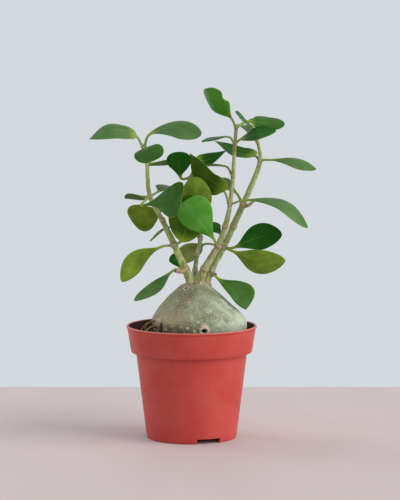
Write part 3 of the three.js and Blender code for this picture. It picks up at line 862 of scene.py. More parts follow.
@dataclass
class Soil:
    """The potting mix round the caudex, with bark chips, pale grains and a few bare roots."""

    place: Place
    pot: Pot
    top: float = 69.6
    sides: int = 260
    chips: int = 230
    grains: int = 150
    mound: float = 5.5  # how much higher the mix lies against the caudex's left side
    lean: float = 6.4  # how far right of the pot's axis the caudex meets the mix
    edge: float = 29.0  # the inner edge of its top, from the caudex's middle
    bottom: float = 5.6  # just above the pot's floor
    strewn_to: float = 38.4  # chips and grains lie within this of the pot's axis
    strewn_from: float = 31.5  # and at least this far from the caudex's middle

    def outline(self) -> Array:
        """Rows from under the caudex, up beside it, over the top and down the pot's inside.

        Returns:
            Rows of radius, height, sideways lean, and how much the row may be rough.
        """
        beside = [(2.0, 51.6, 6.2, 0), (9.6, 53.0, 6.0, 0), (19.4, 56.6, 6.2, 0),
                  (26.6, 62.8, self.lean, 0)]
        wall = self.pot.band_bottom - self.pot.wall - 0.3
        foot, top, base = self.pot.band_foot, self.pot.body_top, self.bottom
        over = [(self.edge + (wall + 0.8 - self.edge) * u, self.top, self.lean * (1 - u) ** 1.5,
                 1.0 if u < 0.97 else 0.3) for u in np.linspace(0, 1, 46)]
        down = [(wall + 0.2, foot + 1.9, 0, 0), (top - 1.7, foot + 1.6, 0, 0),
                (self.pot.body_radius(base) - 1.4, base, 0, 0), (2.0, base, 0, 0)]
        return np.array(beside + over + down, float)

    def rough(self, points: Array) -> Array:
        """How far the mix stands above its level: three sizes of noise, more at small sizes."""
        return (0.9 * lattice_noise(points, 9.0, 21) + 0.6 * lattice_noise(points, 3.2, 22)
                + 0.45 * lattice_noise(points, 1.5, 23))

    def surface(self) -> Surface:
        """Circles about a leaning centre; the noise and the mound at the left move the top rows."""
        rows = self.outline()
        angle = np.linspace(0, 2 * np.pi, self.sides, endpoint=False)[None, :]
        radius, z, lean, loose = (rows[:, n:n + 1] for n in range(4))
        rings = np.stack([lean + radius * np.cos(angle), radius * np.sin(angle), z + 0 * angle], -1)
        rings[..., 2] += self.rough(rings) * loose
        left = smoothstep(-np.cos(angle - 0.25), 0.1, 0.9) * np.ones_like(radius)
        beside_caudex = 1 - smoothstep(radius, 30.0, 35.0)
        rings[..., 2] += self.mound * left * beside_caudex * (loose > 0.5)
        return Surface.rings(rings, np.array([rows[0, 2], 0, rows[0, 1]]), np.array([0, 0, rows[-1, 1]]))

    def strewn(self, count: int, seed: int, sizes: tuple[Point, Point]) -> Surface:
        """Small rough lumps lying about on the mix.

        Each lump is a squashed eight-sided bead: rings at four heights, with
        its radius, tilt and lengths drawn at random.

        Args:
            count: how many.
            seed: for the random draws.
            sizes: the smallest and the largest length, width and height.

        Returns:
            All the lumps as one surface.
        """
        rng = np.random.default_rng(seed)
        level, turn = np.array([-0.8, -0.25, 0.35, 0.85]), np.linspace(0, 2 * np.pi, 8, endpoint=False)
        girth = np.sqrt(1 - level**2)
        bead = np.stack(np.broadcast_arrays(girth[:, None] * np.cos(turn), girth[:, None] * np.sin(turn),
                                            level[:, None]), -1)
        lumps = []
        for _ in range(count):
            size = rng.uniform(*sizes)
            yaw, tilt = rng.uniform(0, 2 * np.pi), rng.normal(0, 0.35)
            reach = self.strewn_to * math.sqrt(rng.uniform(0.35, 1.0))
            where = rng.uniform(0, 2 * np.pi)
            middle = np.array([reach * math.cos(where), reach * math.sin(where), self.top])
            rings = bead * (1 + 0.22 * rng.uniform(-1, 1, bead.shape)) * size / 2
            c, s = math.cos(tilt), math.sin(tilt)
            rings = rings @ np.array([[c, 0, s], [0, 1, 0], [-s, 0, c]]).T
            c, s = math.cos(yaw), math.sin(yaw)
            rings = rings @ np.array([[c, -s, 0], [s, c, 0], [0, 0, 1]]).T
            middle[2] += float(self.rough(middle)) + 0.3 * size[2]
            if np.hypot(middle[0] - self.lean, middle[1]) < self.strewn_from:
                continue
            rings = rings + middle
            lumps.append(Surface.rings(rings, rings[0].mean(0), rings[-1].mean(0)))
        return Surface.joined(lumps)

    def roots(self) -> Surface:
        """Bare roots that leave the caudex, arch over the mix and dive into it."""
        routes = (
            ((-22.0, -12.0, 81.5), (-27.0, -14.0, 82.4), (-31.0, -14.0, 79.5), (-32.5, -13.5, 70.0)),
            ((-23.5, -7.0, 79.5), (-29.5, -7.5, 80.2), (-34.0, -9.0, 76.6), (-35.5, -11.0, 69.0)),
            ((-22.0, -14.0, 77.5), (-26.5, -18.0, 79.3), (-30.5, -20.5, 77.0), (-31.0, -22.0, 69.0)),
            ((-24.5, 3.0, 77.0), (-29.0, 5.0, 78.6), (-32.5, 9.0, 76.5), (-34.5, 14.0, 69.0)),
            ((30.0, 18.0, 72.5), (32.0, 21.0, 72.8), (31.5, 24.0, 70.8), (28.5, 26.0, 68.0)))
        thick, thin, sides = 0.75, 0.40, 10
        s = np.linspace(0, 1, 40)
        parts = []
        for index, route in enumerate(routes):
            path = Path(np.array(route))
            wobble = 0.12 * lattice_noise(path.at(s)[:, None] + np.zeros((1, sides, 1)), 1.6, 40 + index)
            parts.append(tube(path, thick - (thick - thin) * s, s, sides, None, wobble))
        return Surface.joined(parts)

    def build(self) -> None:
        """Makes the mix and what lies on it."""
        mix = EarthFinish("potting_mix", (0.012, 0.008, 0.006), (0.050, 0.032, 0.020))
        bark = EarthFinish("bark_chips", (0.030, 0.016, 0.009), (0.115, 0.068, 0.038), 700.0)
        grain = EarthFinish("pale_grains", (0.38, 0.34, 0.27), (0.62, 0.58, 0.48), 1500.0, 0.2)
        root = EarthFinish("bare_roots", (0.120, 0.075, 0.035), (0.290, 0.205, 0.105), 1200.0, 0.2)
        settle(self.surface().piece("soil_bed", self.place, mix.material()), "potting_mix", "soil")
        chips = self.strewn(self.chips, 31, ((1.6, 1.0, 0.6), (5.4, 2.8, 1.6)))
        settle(chips.piece("soil_bark_chips", self.place, bark.material(), 40.0), "potting_mix")
        grains = self.strewn(self.grains, 32, ((0.7, 0.7, 0.6), (1.8, 1.6, 1.3)))
        settle(grains.piece("soil_pale_grains", self.place, grain.material(), 40.0), "potting_mix")
        settle(self.roots().piece("soil_bare_roots", self.place, root.material()), "potting_mix")


# --------------------------------------------------------------------- stems

@dataclass
class Stem:
    """One stem from the crown to its youngest pair of leaves, ringed at each leaf node."""

    place: Place
    node: str
    points: tuple[Point, ...]  # the crown, then each leaf node
    radii: tuple[float, ...]  # at the same places
    finish: BarkFinish
    root: Point = (0.0, 0.0, -3.0)  # from the first point down into the caudex
    flare: float = 0.6  # how much wider the stem is at the crown, as a share
    tip: float = 1.6  # how far it runs past its last leaf node
    sides: int = 28
    step: float = 0.55  # between rings

    def __post_init__(self) -> None:
        """Carries the path down into the caudex and a little past its last leaf node."""
        points = np.array(self.points)
        foot = points[0] + np.array(self.root)
        end = points[-1] + self.tip * unit(points[-1] - points[-2])
        self.path = Path(np.vstack([foot, points, end]))

    def radius(self, s: Array) -> Array:
        """The stem's radius: straight between the nodes, swollen at each, flared at the crown.

        Args:
            s: fractions of the path.

        Returns:
            Radii in mm.
        """
        knots = self.path.knots
        plain = np.interp(s, knots, [self.radii[0], *self.radii, self.radii[-1] * 0.55])
        apart = np.abs(s[:, None] - knots[None, 2:-1]) * self.path.length
        swell = (0.26 * bell(apart, 1.5) - 0.05 * bell(apart - 2.6, 0.9)).sum(1)
        crown = self.flare * np.exp(-np.maximum(0, s - knots[1]) * self.path.length / 3.6)
        return plain * (1 + swell + crown)

    def surface(self) -> Surface:
        """A circle carried along the path, rippled by noise and by the rings of its scars."""
        count = int(self.path.length / self.step)
        s = np.linspace(0, 1, count)
        radius = self.radius(s)
        tip = np.sqrt(np.clip((1 - s) * self.path.length / (radius + 1e-6), 0, 1))
        centre = self.path.at(s)
        angle = np.linspace(0, 2 * np.pi, self.sides, endpoint=False)
        circle = np.stack([np.cos(angle), np.sin(angle), 0 * angle], -1)
        skin = centre[:, None] + radius[:, None, None] * circle
        ripple = 0.075 * lattice_noise(skin, 2.6, 51) + 0.05 * lattice_noise(skin, 1.1, 52)
        ripple = radius[:, None] * ripple
        ripple = ripple + 0.05 * radius[:, None] * lattice_noise(skin * np.array([1, 1, 0.2]), 1.3, 53)
        offset = (s[:, None] - self.path.knots[None, 2:-1]) * self.path.length
        scar = bell(offset, 1.0).sum(1)[:, None] + 0 * ripple
        ring = (bell(offset - 1.3, 0.35) + bell(offset + 1.5, 0.35)).sum(1)[:, None]
        ripple = ripple - 0.035 * radius[:, None] * ring
        crown = np.exp(-np.maximum(0, s - self.path.knots[1]) * self.path.length / 4.0)[:, None]
        blotch = smoothstep(lattice_noise(skin, 3.4, 54), -0.1, 0.5)
        scar = np.clip(scar * 0.75 + crown * blotch, 0, 1)
        spots = smoothstep(lattice_noise(skin, 1.8, 55), 0.45, 0.75) * (crown + 0.25)
        paint = {"stem_scar": scar, "stem_dark": np.clip(0.35 * ring + 0.6 * spots, 0, 1)}
        return tube(self.path, radius * tip, s, self.sides, paint, ripple * tip[:, None])

    def build(self) -> None:
        """Makes the stem."""
        piece = self.surface().piece(self.node + "_bark", self.place, self.finish.material())
        settle(piece, "stem_bark", self.node)


@dataclass
class Stubs:
    """Short dry stubs of lost leaves and side shoots, one piece for each stem that has them."""

    place: Place
    finish: BarkFinish = BarkFinish("stub_bark", (0.33, 0.27, 0.13), (0.12, 0.07, 0.035), (0.50, 0.42, 0.24))

    def build(self) -> None:
        """Makes each stub as a short tapered tube that starts inside its stem."""
        routes = {  # the route, then the radius at its start and at its end
            "left_stem_stub": (((-4.0, -2.2, 116.4), (-7.6, -4.0, 115.6), (-11.8, -5.6, 116.4)), 1.9, 1.15),
            "back_right_stem_stub": (((35.2, 3.2, 160.0), (38.8, 1.8, 160.6), (43.4, 0.4, 164.4)), 1.5, 0.75),
            "crown_right_stub": (((13.6, 2.4, 112.6), (15.4, 0.4, 112.8), (17.2, -1.2, 113.8)), 1.5, 0.8),
            "crown_middle_stub": (((3.4, -0.4, 105.6), (3.2, -1.6, 108.4), (2.6, -2.2, 110.4)), 2.2, 0.9),
        }
        sides = 18
        s = np.linspace(0, 1, 34)
        flat = np.ones((len(s), sides))
        paint = {"stem_scar": 0.5 * flat, "stem_dark": 0.8 * smoothstep(s, 0.75, 1)[:, None] * flat}
        for index, (name, (route, thick, thin)) in enumerate(routes.items()):
            path = Path(np.array(route))
            closing = np.sqrt(np.clip((1 - s) * path.length / thin * 1.4, 0, 1))
            radius = (thick + (thin - thick) * s) * closing
            skin = path.at(s)[:, None] + np.linspace(0, 3, sides)[None, :, None]
            rough = 0.16 * lattice_noise(skin, 1.1, 60 + index) * radius[:, None] / thick
            stub = tube(path, radius, s, sides, paint, rough)
            settle(stub.piece(name, self.place, self.finish.material()), "stem_bark")


# -------------------------------------------------------------------- leaves

@dataclass
class Leaf:
    """One leaf: a round stalk that widens into a thick blade with a rolled margin.

    Left and right are as seen from its foot, with its upper side up.
    """

    place: Place
    node: str
    stem: Stem
    stem_node: int
    foot: Point  # where the stalk meets the blade
    middle: Point  # of the midrib
    tip: Point
    face: Point  # the way that the upper side looks
    width: float
    tone: Tone
    widest: float = 0.6  # where the blade is widest, from its foot to its tip
    wedge: float = 1.25  # how wedge-shaped the foot is
    apex: float = 0.6  # how round the tip is
    cup: float = 16.0  # degrees that each margin is turned towards the upper side
    twist: float = 0.0  # degrees that the blade turns about the midrib, foot to tip
    skew: float = 0.0  # the share by which the right side is wider and the left narrower
    pinch: float = 0.0  # the share by which the right margin is drawn in
    wave: float = 0.35  # how far the margins wave up and down
    petiole: float = 0.95  # the stalk's half width
    stalk_depth: float = 1.5
    thickness: float = 1.1
    groove: float = 0.22  # how far the midrib is sunk above
    keel: float = 0.30  # how far it stands proud below
    lumpy: float = 0.22
    rows: int = 60

    # Places across the blade, closest together at its margins and its midrib.
    ACROSS = (-1.0, -0.992, -0.965, -0.92, -0.84, -0.7, -0.5, -0.3, -0.14, -0.05, 0.0,
              0.05, 0.14, 0.3, 0.5, 0.7, 0.84, 0.92, 0.965, 0.992, 1.0)

    @property
    def phase(self) -> int:
        """A number of the leaf's own, so that no two wave alike."""
        return sum(map(ord, self.node))

    def path(self) -> Path:
        """The midrib's curve, from just inside the stem through the foot and middle to the tip."""
        at = self.stem_node
        centre = np.array(self.stem.points[at])
        along = self.stem.path.tangent(self.stem.path.knots[at + 1])
        towards = unit(np.array(self.foot) - centre)
        lean = float(towards @ along)
        outwards = unit(towards - lean * along)
        root = centre + outwards * self.stem.radii[at] * 0.55
        return Path(np.array([root, self.foot, self.middle, self.tip]))

    def half_width(self, t: Array) -> Array:
        """Half the blade's width: a sine arch of a power of t, blended into the stalk.

        Args:
            t: from 0 at the blade's foot to 1 at its tip; below 0 on the stalk.

        Returns:
            Half widths in mm.
        """
        u = np.clip(t, 0, 1)
        power = math.log(0.5) / math.log(self.widest)
        arch = np.sin(np.pi * u**power) ** (self.wedge + (self.apex - self.wedge) * u)
        stalk = self.petiole * (1 - u * u) * (1 + 0.55 * bell(t + 1.0, 0.22))
        return np.hypot(stalk, self.width / 2 * arch)

    def stations(self, path: Path) -> tuple[Array, Array]:
        """Where the sections stand, closest together at the tip.

        Args:
            path: the midrib's curve.

        Returns:
            Each section's place on the blade, which is 0 at its foot, 1 at its
            tip and below 0 on the stalk, and its fraction of the path.
        """
        points = np.array([path.samples[0], self.foot, self.middle, self.tip])
        chords = np.linalg.norm(np.diff(points, axis=0), axis=1)
        stalk = chords[0] / chords.sum()
        blade = 1 - (1 - np.linspace(0, 1, self.rows)) ** 1.25
        t = np.concatenate([np.linspace(-1, -0.04, 16), blade[:-1] * 0.985 + 0.005, [0.9935, 0.9985]])
        return t, np.where(t < 0, stalk * (1 + t), stalk + (1 - stalk) * t)

    def directions(self, along: Array, t: Array) -> tuple[Array, Array]:
        """The ways that the upper side and the right margin point, with the twist, at each section."""
        face = np.array(self.face, float)
        normal = unit(face - (along @ face)[:, None] * along)
        side = np.cross(along, normal)
        turn = np.radians(self.twist) * (np.clip(t, 0, None) - 0.5)[:, None]
        return normal * np.cos(turn) - side * np.sin(turn), side * np.cos(turn) + normal * np.sin(turn)

    def reach(self, t: Array, v: Array) -> Array:
        """Half widths with the skew and the pinch.

        Args:
            t: the sections' places on the blade.
            v: places across a section, from -1 at the left margin to 1 at the right.

        Returns:
            Half widths in mm, sections by places across.
        """
        half = self.half_width(t)[:, None] * (1 + self.skew * v * smoothstep(t, 0.1, 0.6)[:, None])
        waist = bell(t - 0.62, 0.16) - 0.25 * bell(t - 0.3, 0.12)
        return half * (1 - self.pinch * waist[:, None] * (v > 0))

    def relief(self, t: Array, v: Array, up: Array, half: Array) -> Array:
        """How far the skin stands off the section's middle: its thickness, midrib and waves.

        Args:
            t: the sections' places on the blade.
            v: places across a section.
            up: 1 on the upper side, -1 on the lower and 0 at the margins.
            half: the half widths.

        Returns:
            Distances in mm along the section's normal.
        """
        flat = smoothstep(t, -0.1, 0.16)[:, None]
        round_part = np.sqrt(np.clip(1 - v**2, 0, 1))
        blade_part = (1 - 0.35 * v**2) * np.clip(1 - np.abs(v) ** 10, 0, 1) ** 0.5
        body = (1 - flat) * self.stalk_depth * round_part + flat * self.thickness * blade_part
        body = body * (1 - 0.45 * smoothstep(t, 0.8, 1.0)[:, None])
        away = np.abs(v) * half
        rib = flat * (1 - 0.8 * smoothstep(t, 0.2, 0.95)[:, None])
        rib = rib * np.where(up > 0, self.groove * bell(away, 0.7), self.keel * bell(away, 1.0))
        right = np.sin(7.5 * t[:, None] + self.phase) * (v > 0)
        left = np.sin(6.3 * t[:, None] + 1.7 * self.phase) * (v < 0)
        swell = np.abs(v) ** 2 * np.sin(np.pi * np.clip(t, 0, 1))[:, None]
        return up * body / 2 - rib + self.wave * (right + left) * swell

    def surface(self) -> Surface:
        """Sections carried along the midrib.

        A section is an arc of the cup's angle, as thick as the blade at its
        middle and round at its margins. The relief and a lumpy noise lie on it.
        """
        path = self.path()
        t, s = self.stations(path)
        centre, along = path.at(s), path.tangent(s)
        normal, side = self.directions(along, t)
        edges = len(self.ACROSS)
        v = np.array(self.ACROSS + self.ACROSS[-2:0:-1])[None, :]
        up = np.concatenate([np.ones(edges), -np.ones(edges - 2)])[None, :]
        up[:, [0, edges - 1]] = 0
        half = self.reach(t, v)
        lift = self.relief(t, v, up, half)
        skin = centre[:, None] + v[..., None] * half[..., None] * side[:, None]
        lumps = lattice_noise(skin, 6.0, self.phase) * (1 - v**4)
        lift = lift + self.lumpy * smoothstep(t, -0.1, 0.16)[:, None] * lumps
        bend = np.radians(self.cup) * smoothstep(t, 0, 0.3)[:, None] + 1e-3
        rings = (centre[:, None] + (half * np.sin(bend * v) / bend)[..., None] * side[:, None]
                 + (half * (1 - np.cos(bend * v)) / bend + lift)[..., None] * normal[:, None])
        ones = np.ones_like(rings[..., 0])
        paint = {"leaf_across": v * ones, "leaf_along": t[:, None] * ones,
                 "leaf_under": (0.5 - 0.5 * up) * ones}
        return Surface.rings(rings, path.at(0.0), path.at(1.0), paint)

    def build(self, finishes: dict[Tone, Material]) -> None:
        """Makes the leaf in its tone's finish."""
        piece = self.surface().piece(self.node.replace("leaf_", "blade_"), self.place, finishes[self.tone])
        settle(piece, "leaf_green", self.node)


@dataclass
class Plant:
    """The stems and all the leaves on them."""

    place: Place

    def stems(self) -> dict[str, Stem]:
        """The four stems by short name."""
        yellow = BarkFinish("left_stem_bark", (0.33, 0.39, 0.12), (0.21, 0.16, 0.065))
        grey = BarkFinish("middle_stem_bark", (0.28, 0.36, 0.19), (0.15, 0.17, 0.09), (0.44, 0.54, 0.36))
        tan = BarkFinish("front_right_stem_bark", (0.27, 0.31, 0.11), (0.24, 0.17, 0.09),
                         (0.46, 0.46, 0.25))
        green = BarkFinish("back_right_stem_bark", (0.32, 0.385, 0.15), (0.23, 0.20, 0.09),
                           (0.46, 0.54, 0.26))
        return {
            "left": Stem(self.place, "left_stem",
                         ((0, -1, 107.8), (-4.5, -1, 117), (-12, 1, 133.6), (-20, 3, 150.2),
                          (-28.6, 4, 166.6), (-30.9, 4, 191.7), (-33, 4, 200.4)),
                         (2.9, 2.5, 2.2, 1.75, 1.5, 1.3, 1.2), yellow),
            "middle": Stem(self.place, "middle_stem",
                           ((2.4, 5, 107.3), (2.5, 5.5, 115.6), (3.7, 6, 126), (6, 7, 138), (2.6, 8, 158.3),
                            (-1.4, 8, 179)), (1.8, 1.6, 1.5, 1.5, 1.2, 1), grey),
            "front": Stem(self.place, "front_right_stem",
                          ((5, -2.5, 107.8), (9, -3.5, 117.6), (18.2, -4, 133.4), (23.2, -4, 147),
                           (26.4, -4, 162), (28.4, -3, 181.6), (29.7, -3, 203.8), (30.6, -3, 215)),
                          (2.9, 2.4, 2.1, 1.9, 1.5, 1.3, 1.25, 1.2), tan),
            "back": Stem(self.place, "back_right_stem",
                         ((10.2, 3.5, 107), (14, 3.5, 116), (22.2, 5, 131.4), (28.7, 5, 146.1),
                          (35.6, 4, 161.5), (47, 2, 191.8), (45.2, 0, 204.5), (42, -2, 214)),
                         (2.3, 2.1, 2, 2.2, 2.1, 1.5, 1.1, 1), green),
        }

    def leaves(self, stems: dict[str, Stem]) -> list[Leaf]:
        """Every leaf, by stem and node.

        Args:
            stems: the stems by short name.

        Returns:
            The leaves.
        """
        # the deep tone carries painted shade and the greyish tone a painted sheen
        fresh, middle, deep_shaded, greyish_sheen, olive, pale = Tone

        def leaf(node: str, stem: str, *row: object, **shape: float) -> Leaf:
            """One row as a leaf: name, stem, node, foot, middle, tip, facing, width, tone and shape."""
            return Leaf(self.place, node, stems[stem], *row, **shape)

        return [
            leaf("leaf_left_5_west", "left", 6, (-38, 1, 208.4), (-51.5, -4, 213), (-69.4, -9, 206.9),
                 (-0.1, -0.5, 0.87), 20, greyish_sheen, widest=0.42, wedge=0.5, apex=0.9, cup=-12),
            leaf("leaf_left_5_east", "left", 6, (-29, 1, 209.3), (-12, -4, 214.4), (6.5, -9, 209.6),
                 (0.1, -0.6, 0.8), 19.5, greyish_sheen, widest=0.66, wedge=0.6, apex=0.5, cup=-10),
            leaf("leaf_left_4_front", "left", 5, (-31, -4, 197), (-31, -18, 201), (-25, -33, 194),
                 (-0.36, -0.15, 0.93), 20.5, middle, widest=0.68, wedge=0.9, apex=0.34, cup=-6),
            leaf("leaf_left_4_back", "left", 5, (-29.5, 7, 189.3), (-22.5, 17, 188.6), (-13, 27, 187.6),
                 (0.05, 0.55, 0.83), 14, olive, widest=0.5, wedge=0.6, cup=6),
            leaf("leaf_left_3_west", "left", 4, (-31.2, 8, 166.2), (-37.2, 16, 164.6), (-46.4, 26, 163.6),
                 (0, 0.45, 0.9), 15, olive, widest=0.5, wedge=0.8, apex=0.8),
            leaf("leaf_left_3_front", "left", 4, (-34.2, -9, 161.8), (-18.8, -20, 166), (-6.2, -29, 168.4),
                 (-0.5, -0.72, 0.5), 27, middle, widest=0.86, wedge=0.5, apex=0.2, cup=4, skew=0.08),
            leaf("leaf_left_3_back", "left", 4, (-24, 9, 169), (-18.5, 22, 171), (-12, 34, 170.5),
                 (0.3, 0.3, 0.9), 15, olive),
            leaf("leaf_left_2_west", "left", 2, (-20, 0, 132.5), (-36, -3, 124), (-48, -7, 109),
                 (-0.3, 0.75, 0.6), 19, middle, cup=10),
            leaf("leaf_left_2_front", "left", 2, (-7.4, -4, 136.5), (-2.8, -9.5, 151), (0.4, -13, 169),
                 (0, 0.95, 0.3), 27, olive, wedge=0.45, widest=0.55, apex=0.5, cup=10),
            leaf("leaf_left_1_west", "left", 1, (-11.5, -4, 116.8), (-25, -9, 104.5), (-39, -14, 96.5),
                 (-0.35, -0.5, 0.8), 14, greyish_sheen, cup=14),
            leaf("leaf_left_1_back", "left", 1, (-8, 5, 117.6), (-10.5, 8, 121), (-12.5, 10, 126.5),
                 (0.3, -0.9, 0.2), 10, deep_shaded),
            leaf("leaf_middle_2_west", "middle", 4, (-18.3, 13, 157.5), (-29, 17, 153.2), (-41, 20, 147.2),
                 (-0.2, 0.9, 0.45), 25, middle, widest=0.78, wedge=0.5, apex=0.28, cup=6),
            leaf("leaf_middle_1_west", "middle", 3, (-2, 12, 142), (-17, 17, 144), (-29, 20, 134),
                 (-0.3, 0.1, 0.95), 10, deep_shaded, cup=0),
            leaf("leaf_middle_1_front", "middle", 3, (6, 2, 144), (3.6, -5, 161), (2.5, -9, 181),
                 (0.05, 0.95, 0.3), 21.5, middle, widest=0.62, apex=0.5, cup=8),
            leaf("leaf_middle_3_west", "middle", 5, (-7, 9.5, 178.6), (-8.2, 10, 187), (-8.5, 10, 197),
                 (-0.2, -0.9, 0.35), 18, deep_shaded, widest=0.7, wedge=0.8, apex=0.38, cup=12),
            leaf("leaf_middle_3_east", "middle", 5, (4.8, 12, 189.9), (10.6, 15, 191), (24.1, 17, 197.5),
                 (-0.2, -0.75, 0.6), 10, deep_shaded, widest=0.28, wedge=0.45, apex=0.9, twist=50, cup=6),
            leaf("leaf_front_2_west", "front", 2, (16, -7, 137), (5, -16, 153.5), (-3, -22, 166.6),
                 (-0.3, -0.85, 0.45), 24, fresh, widest=0.7, wedge=0.8, apex=0.32, cup=-12),
            leaf("leaf_front_2_back", "front", 2, (20.3, 4.4, 139.8), (15.5, 12, 143.8), (12.5, 20, 147.3),
                 (0, -0.6, 0.8), 11, deep_shaded),
            leaf("leaf_front_2_north", "front", 2, (9.5, 7.5, 133.4), (1, 14, 129), (-5.5, 19, 118.5),
                 (-0.5, 0.8, 0.4), 20, pale, cup=8),
            leaf("leaf_front_4_west", "front", 4, (22.3, -6, 171.2), (10.6, -1, 181.4), (-1.2, 3, 196.4),
                 (0.45, 0.75, 0.48), 22, olive, widest=0.38, wedge=0.45, apex=1, cup=-40),
            leaf("leaf_front_4_east", "front", 4, (35, -8, 164.8), (62, -14, 163), (79, -18, 147),
                 (0.35, -0.35, 0.85), 19, greyish_sheen, cup=-10),
            leaf("leaf_front_5_west", "front", 5, (24, 1, 187.4), (15, 4, 188.2), (6, 7, 187.5),
                 (0, 0.05, 1), 13, deep_shaded, cup=6),
            leaf("leaf_front_6_west", "front", 6, (26, -6, 208), (17, -15, 208), (7.5, -24, 206),
                 (-0.1, -0.05, 0.97), 14, deep_shaded, cup=-4),
            leaf("leaf_front_6_east", "front", 6, (33.8, -5, 206.7), (44.6, -11, 210.2), (57.3, -16, 212.6),
                 (0.1, -0.55, 0.8), 17, deep_shaded, widest=0.5, wedge=0.7, cup=14),
            leaf("leaf_front_7_west", "front", 7, (27.3, -5, 220.7), (17.6, -9, 230.2), (10.5, -13, 241.6),
                 (-0.74, -0.58, 0.33), 22, fresh, widest=0.66, wedge=0.7, apex=0.45, cup=-28, pinch=0.32),
            leaf("leaf_front_7_east", "front", 7, (38.2, 1, 218.3), (51.1, 4, 217), (63.9, 4, 216.5),
                 (0, -0.5, 0.85), 17, middle, wedge=0.6, apex=0.5, cup=-6),
            leaf("leaf_back_1_east", "back", 1, (16.7, -1, 111.8), (28, -5, 102.9), (37.4, -9, 89.9),
                 (0.35, -0.75, 0.55), 19, middle, widest=0.66, wedge=0.9, apex=0.8, cup=10, skew=-0.5),
            leaf("leaf_back_2_east", "back", 2, (28, -1, 131.5), (45, -3, 138.5), (62, -6, 141.5),
                 (-0.25, -0.85, 0.45), 20, deep_shaded, cup=12),
            leaf("leaf_back_2_south", "back", 2, (27, 8, 129), (45, 12, 122), (65, 14, 121),
                 (0, 0.85, 0.5), 21.5, middle, cup=16, skew=-0.25),
            leaf("leaf_back_4_west", "back", 4, (31, 9, 168.5), (24, 14, 172.8), (14.5, 22, 176.5),
                 (-0.1, -0.4, 0.9), 15, greyish_sheen),
            leaf("leaf_back_5_west", "back", 5, (43.5, 5, 194.7), (32, 11, 196.4), (16.2, 18, 204),
                 (0.1, -0.42, 0.9), 16, middle, widest=0.3, wedge=0.5, apex=1),
            leaf("leaf_back_5_east", "back", 5, (52.5, -1, 192.2), (68, -4, 191.5), (85, -7, 186),
                 (0.1, -0.38, 0.92), 15.5, greyish_sheen, cup=-10),
            leaf("leaf_back_6_north", "back", 6, (40.5, 7, 209), (37.5, 20, 214), (34.5, 34, 213.5),
                 (0, 0, 1), 12, greyish_sheen),
            leaf("leaf_back_7_west", "back", 7, (41, -6, 215.6), (35.2, -14, 219.9), (30.1, -22, 225.4),
                 (0.75, -0.1, 0.65), 13, deep_shaded),
            leaf("leaf_back_7_east", "back", 7, (46, 6, 216.5), (49.5, 18, 217.5), (54, 31, 219.5),
                 (0.1, -0.4, 0.9), 15, middle),
        ]

    def build(self) -> None:
        """Makes the stems, the stubs and the leaves."""
        stems = self.stems()
        for stem in stems.values():
            stem.build()
        Stubs(self.place).build()
        finishes = {tone: tone.value.material() for tone in Tone}
        for leaf in self.leaves(stems):
            leaf.build(finishes)


# -------------------------------------------------------------------- studio

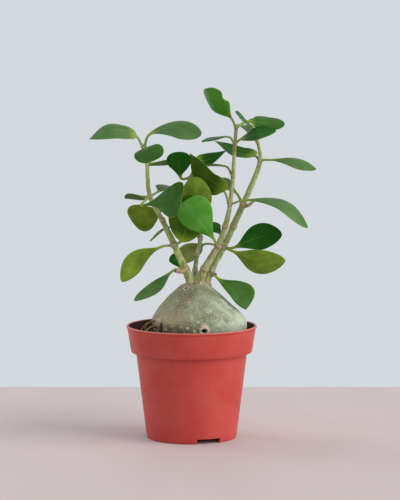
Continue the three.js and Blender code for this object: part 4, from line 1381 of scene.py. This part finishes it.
@dataclass
class Studio:
    """A plain pale floor, a pale surround, soft light and the camera."""

    place: Place
    floor_colour: Colour = (0.645, 0.535, 0.525)
    surround: Colour = (0.652, 0.692, 0.716)
    floor_back: float = 218.0
    distance: float = 1700.0
    pitch: float = 5.9
    aim: Point = (5.8, 0.0, 130.0)
    lens: float = 178.9

    def floor(self) -> None:
        """Lays a flat floor that ends a little way behind the pot."""
        side, front = 3000.0, -4000.0
        sheet = self.place(np.array([(-side, front, 0), (side, front, 0), (side, self.floor_back, 0),
                                     (-side, self.floor_back, 0)]))
        sheet[:, 2] = 0.0
        mesh = bpy.data.meshes.new("studio_floor")
        mesh.from_pydata(sheet.tolist(), [], [(0, 1, 2, 3)])
        s = Shader("floor_paint")
        clouds = s.mottle(9.0, 5.0, 0.3, 0.7, vector=s.stretched((1.0, 0.35, 1.0)))
        tint = s.mix(clouds, self.floor_colour, tuple(0.92 * c for c in self.floor_colour))
        s.set(Base_Color=tint, Roughness=0.7, Specular_IOR_Level=0.15)
        mesh.materials.append(s.material)
        floor = bpy.data.objects.new("studio_floor", mesh)
        bpy.context.scene.collection.objects.link(floor)

    def light(self, name: str, at: Point, size: float, power: float, colour: Colour) -> None:
        """Hangs a square soft light that looks at the plant's middle.

        Args:
            name: the light's name.
            at: where it hangs, in mm.
            size: its side in mm.
            power: its power in watts.
            colour: its colour.
        """
        data = bpy.data.lights.new(name, "AREA")
        data.energy, data.size, data.color = power, size * MM, colour
        lamp = bpy.data.objects.new(name, data)
        here, target = self.place(np.array(at)), self.place(np.array(self.aim))
        lamp.location = here
        lamp.rotation_euler = self.looking(target - here)
        bpy.context.scene.collection.objects.link(lamp)

    @staticmethod
    def looking(direction: Array) -> tuple[float, float, float]:
        """Euler angles that point an object's -Z along a direction, upright."""
        x, y, z = unit(direction)
        return math.atan2(math.hypot(x, y), -z), 0.0, math.atan2(-x, y)

    def camera(self) -> None:
        """Sets the camera at a long distance, looking slightly down."""
        data = bpy.data.cameras.new("studio_camera")
        data.lens, data.sensor_width, data.clip_end = self.lens, 36.0, 100.0
        camera = bpy.data.objects.new("studio_camera", data)
        up = self.distance * math.tan(math.radians(self.pitch))
        camera.location = self.place(np.array(self.aim) + np.array([0, -self.distance, up]))
        camera.rotation_euler = (math.radians(90 - self.pitch), 0, 0)
        bpy.context.scene.collection.objects.link(camera)
        bpy.context.scene.camera = camera

    def build(self) -> None:
        """Makes the whole studio."""
        self.floor()
        self.camera()
        world = bpy.data.worlds.new("studio_surround")
        world.use_nodes = True
        sky = world.node_tree.nodes["Background"]
        sky.inputs["Color"].default_value = (*self.surround, 1.0)
        sky.inputs["Strength"].default_value = 1.0
        bpy.context.scene.world = world
        bpy.context.scene.view_settings.view_transform = "Standard"
        self.light("key_light", (2300, -950, 1250), 2300, 58.0, (1.0, 0.985, 0.96))
        self.light("rim_light", (-900, 500, 500), 500, 2.5, (0.95, 0.98, 1.0))


def main() -> None:
    """Builds the studio and the plant around the frame."""
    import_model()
    place = Place()
    Studio(place).build()
    pot = Pot(place)
    pot.build()
    Soil(place, pot).build()
    Caudex(place).build()
    Plant(place).build()


if __name__ == "__main__":
    logging.basicConfig(level=logging.INFO, format="%(name)s: %(message)s")
    main()
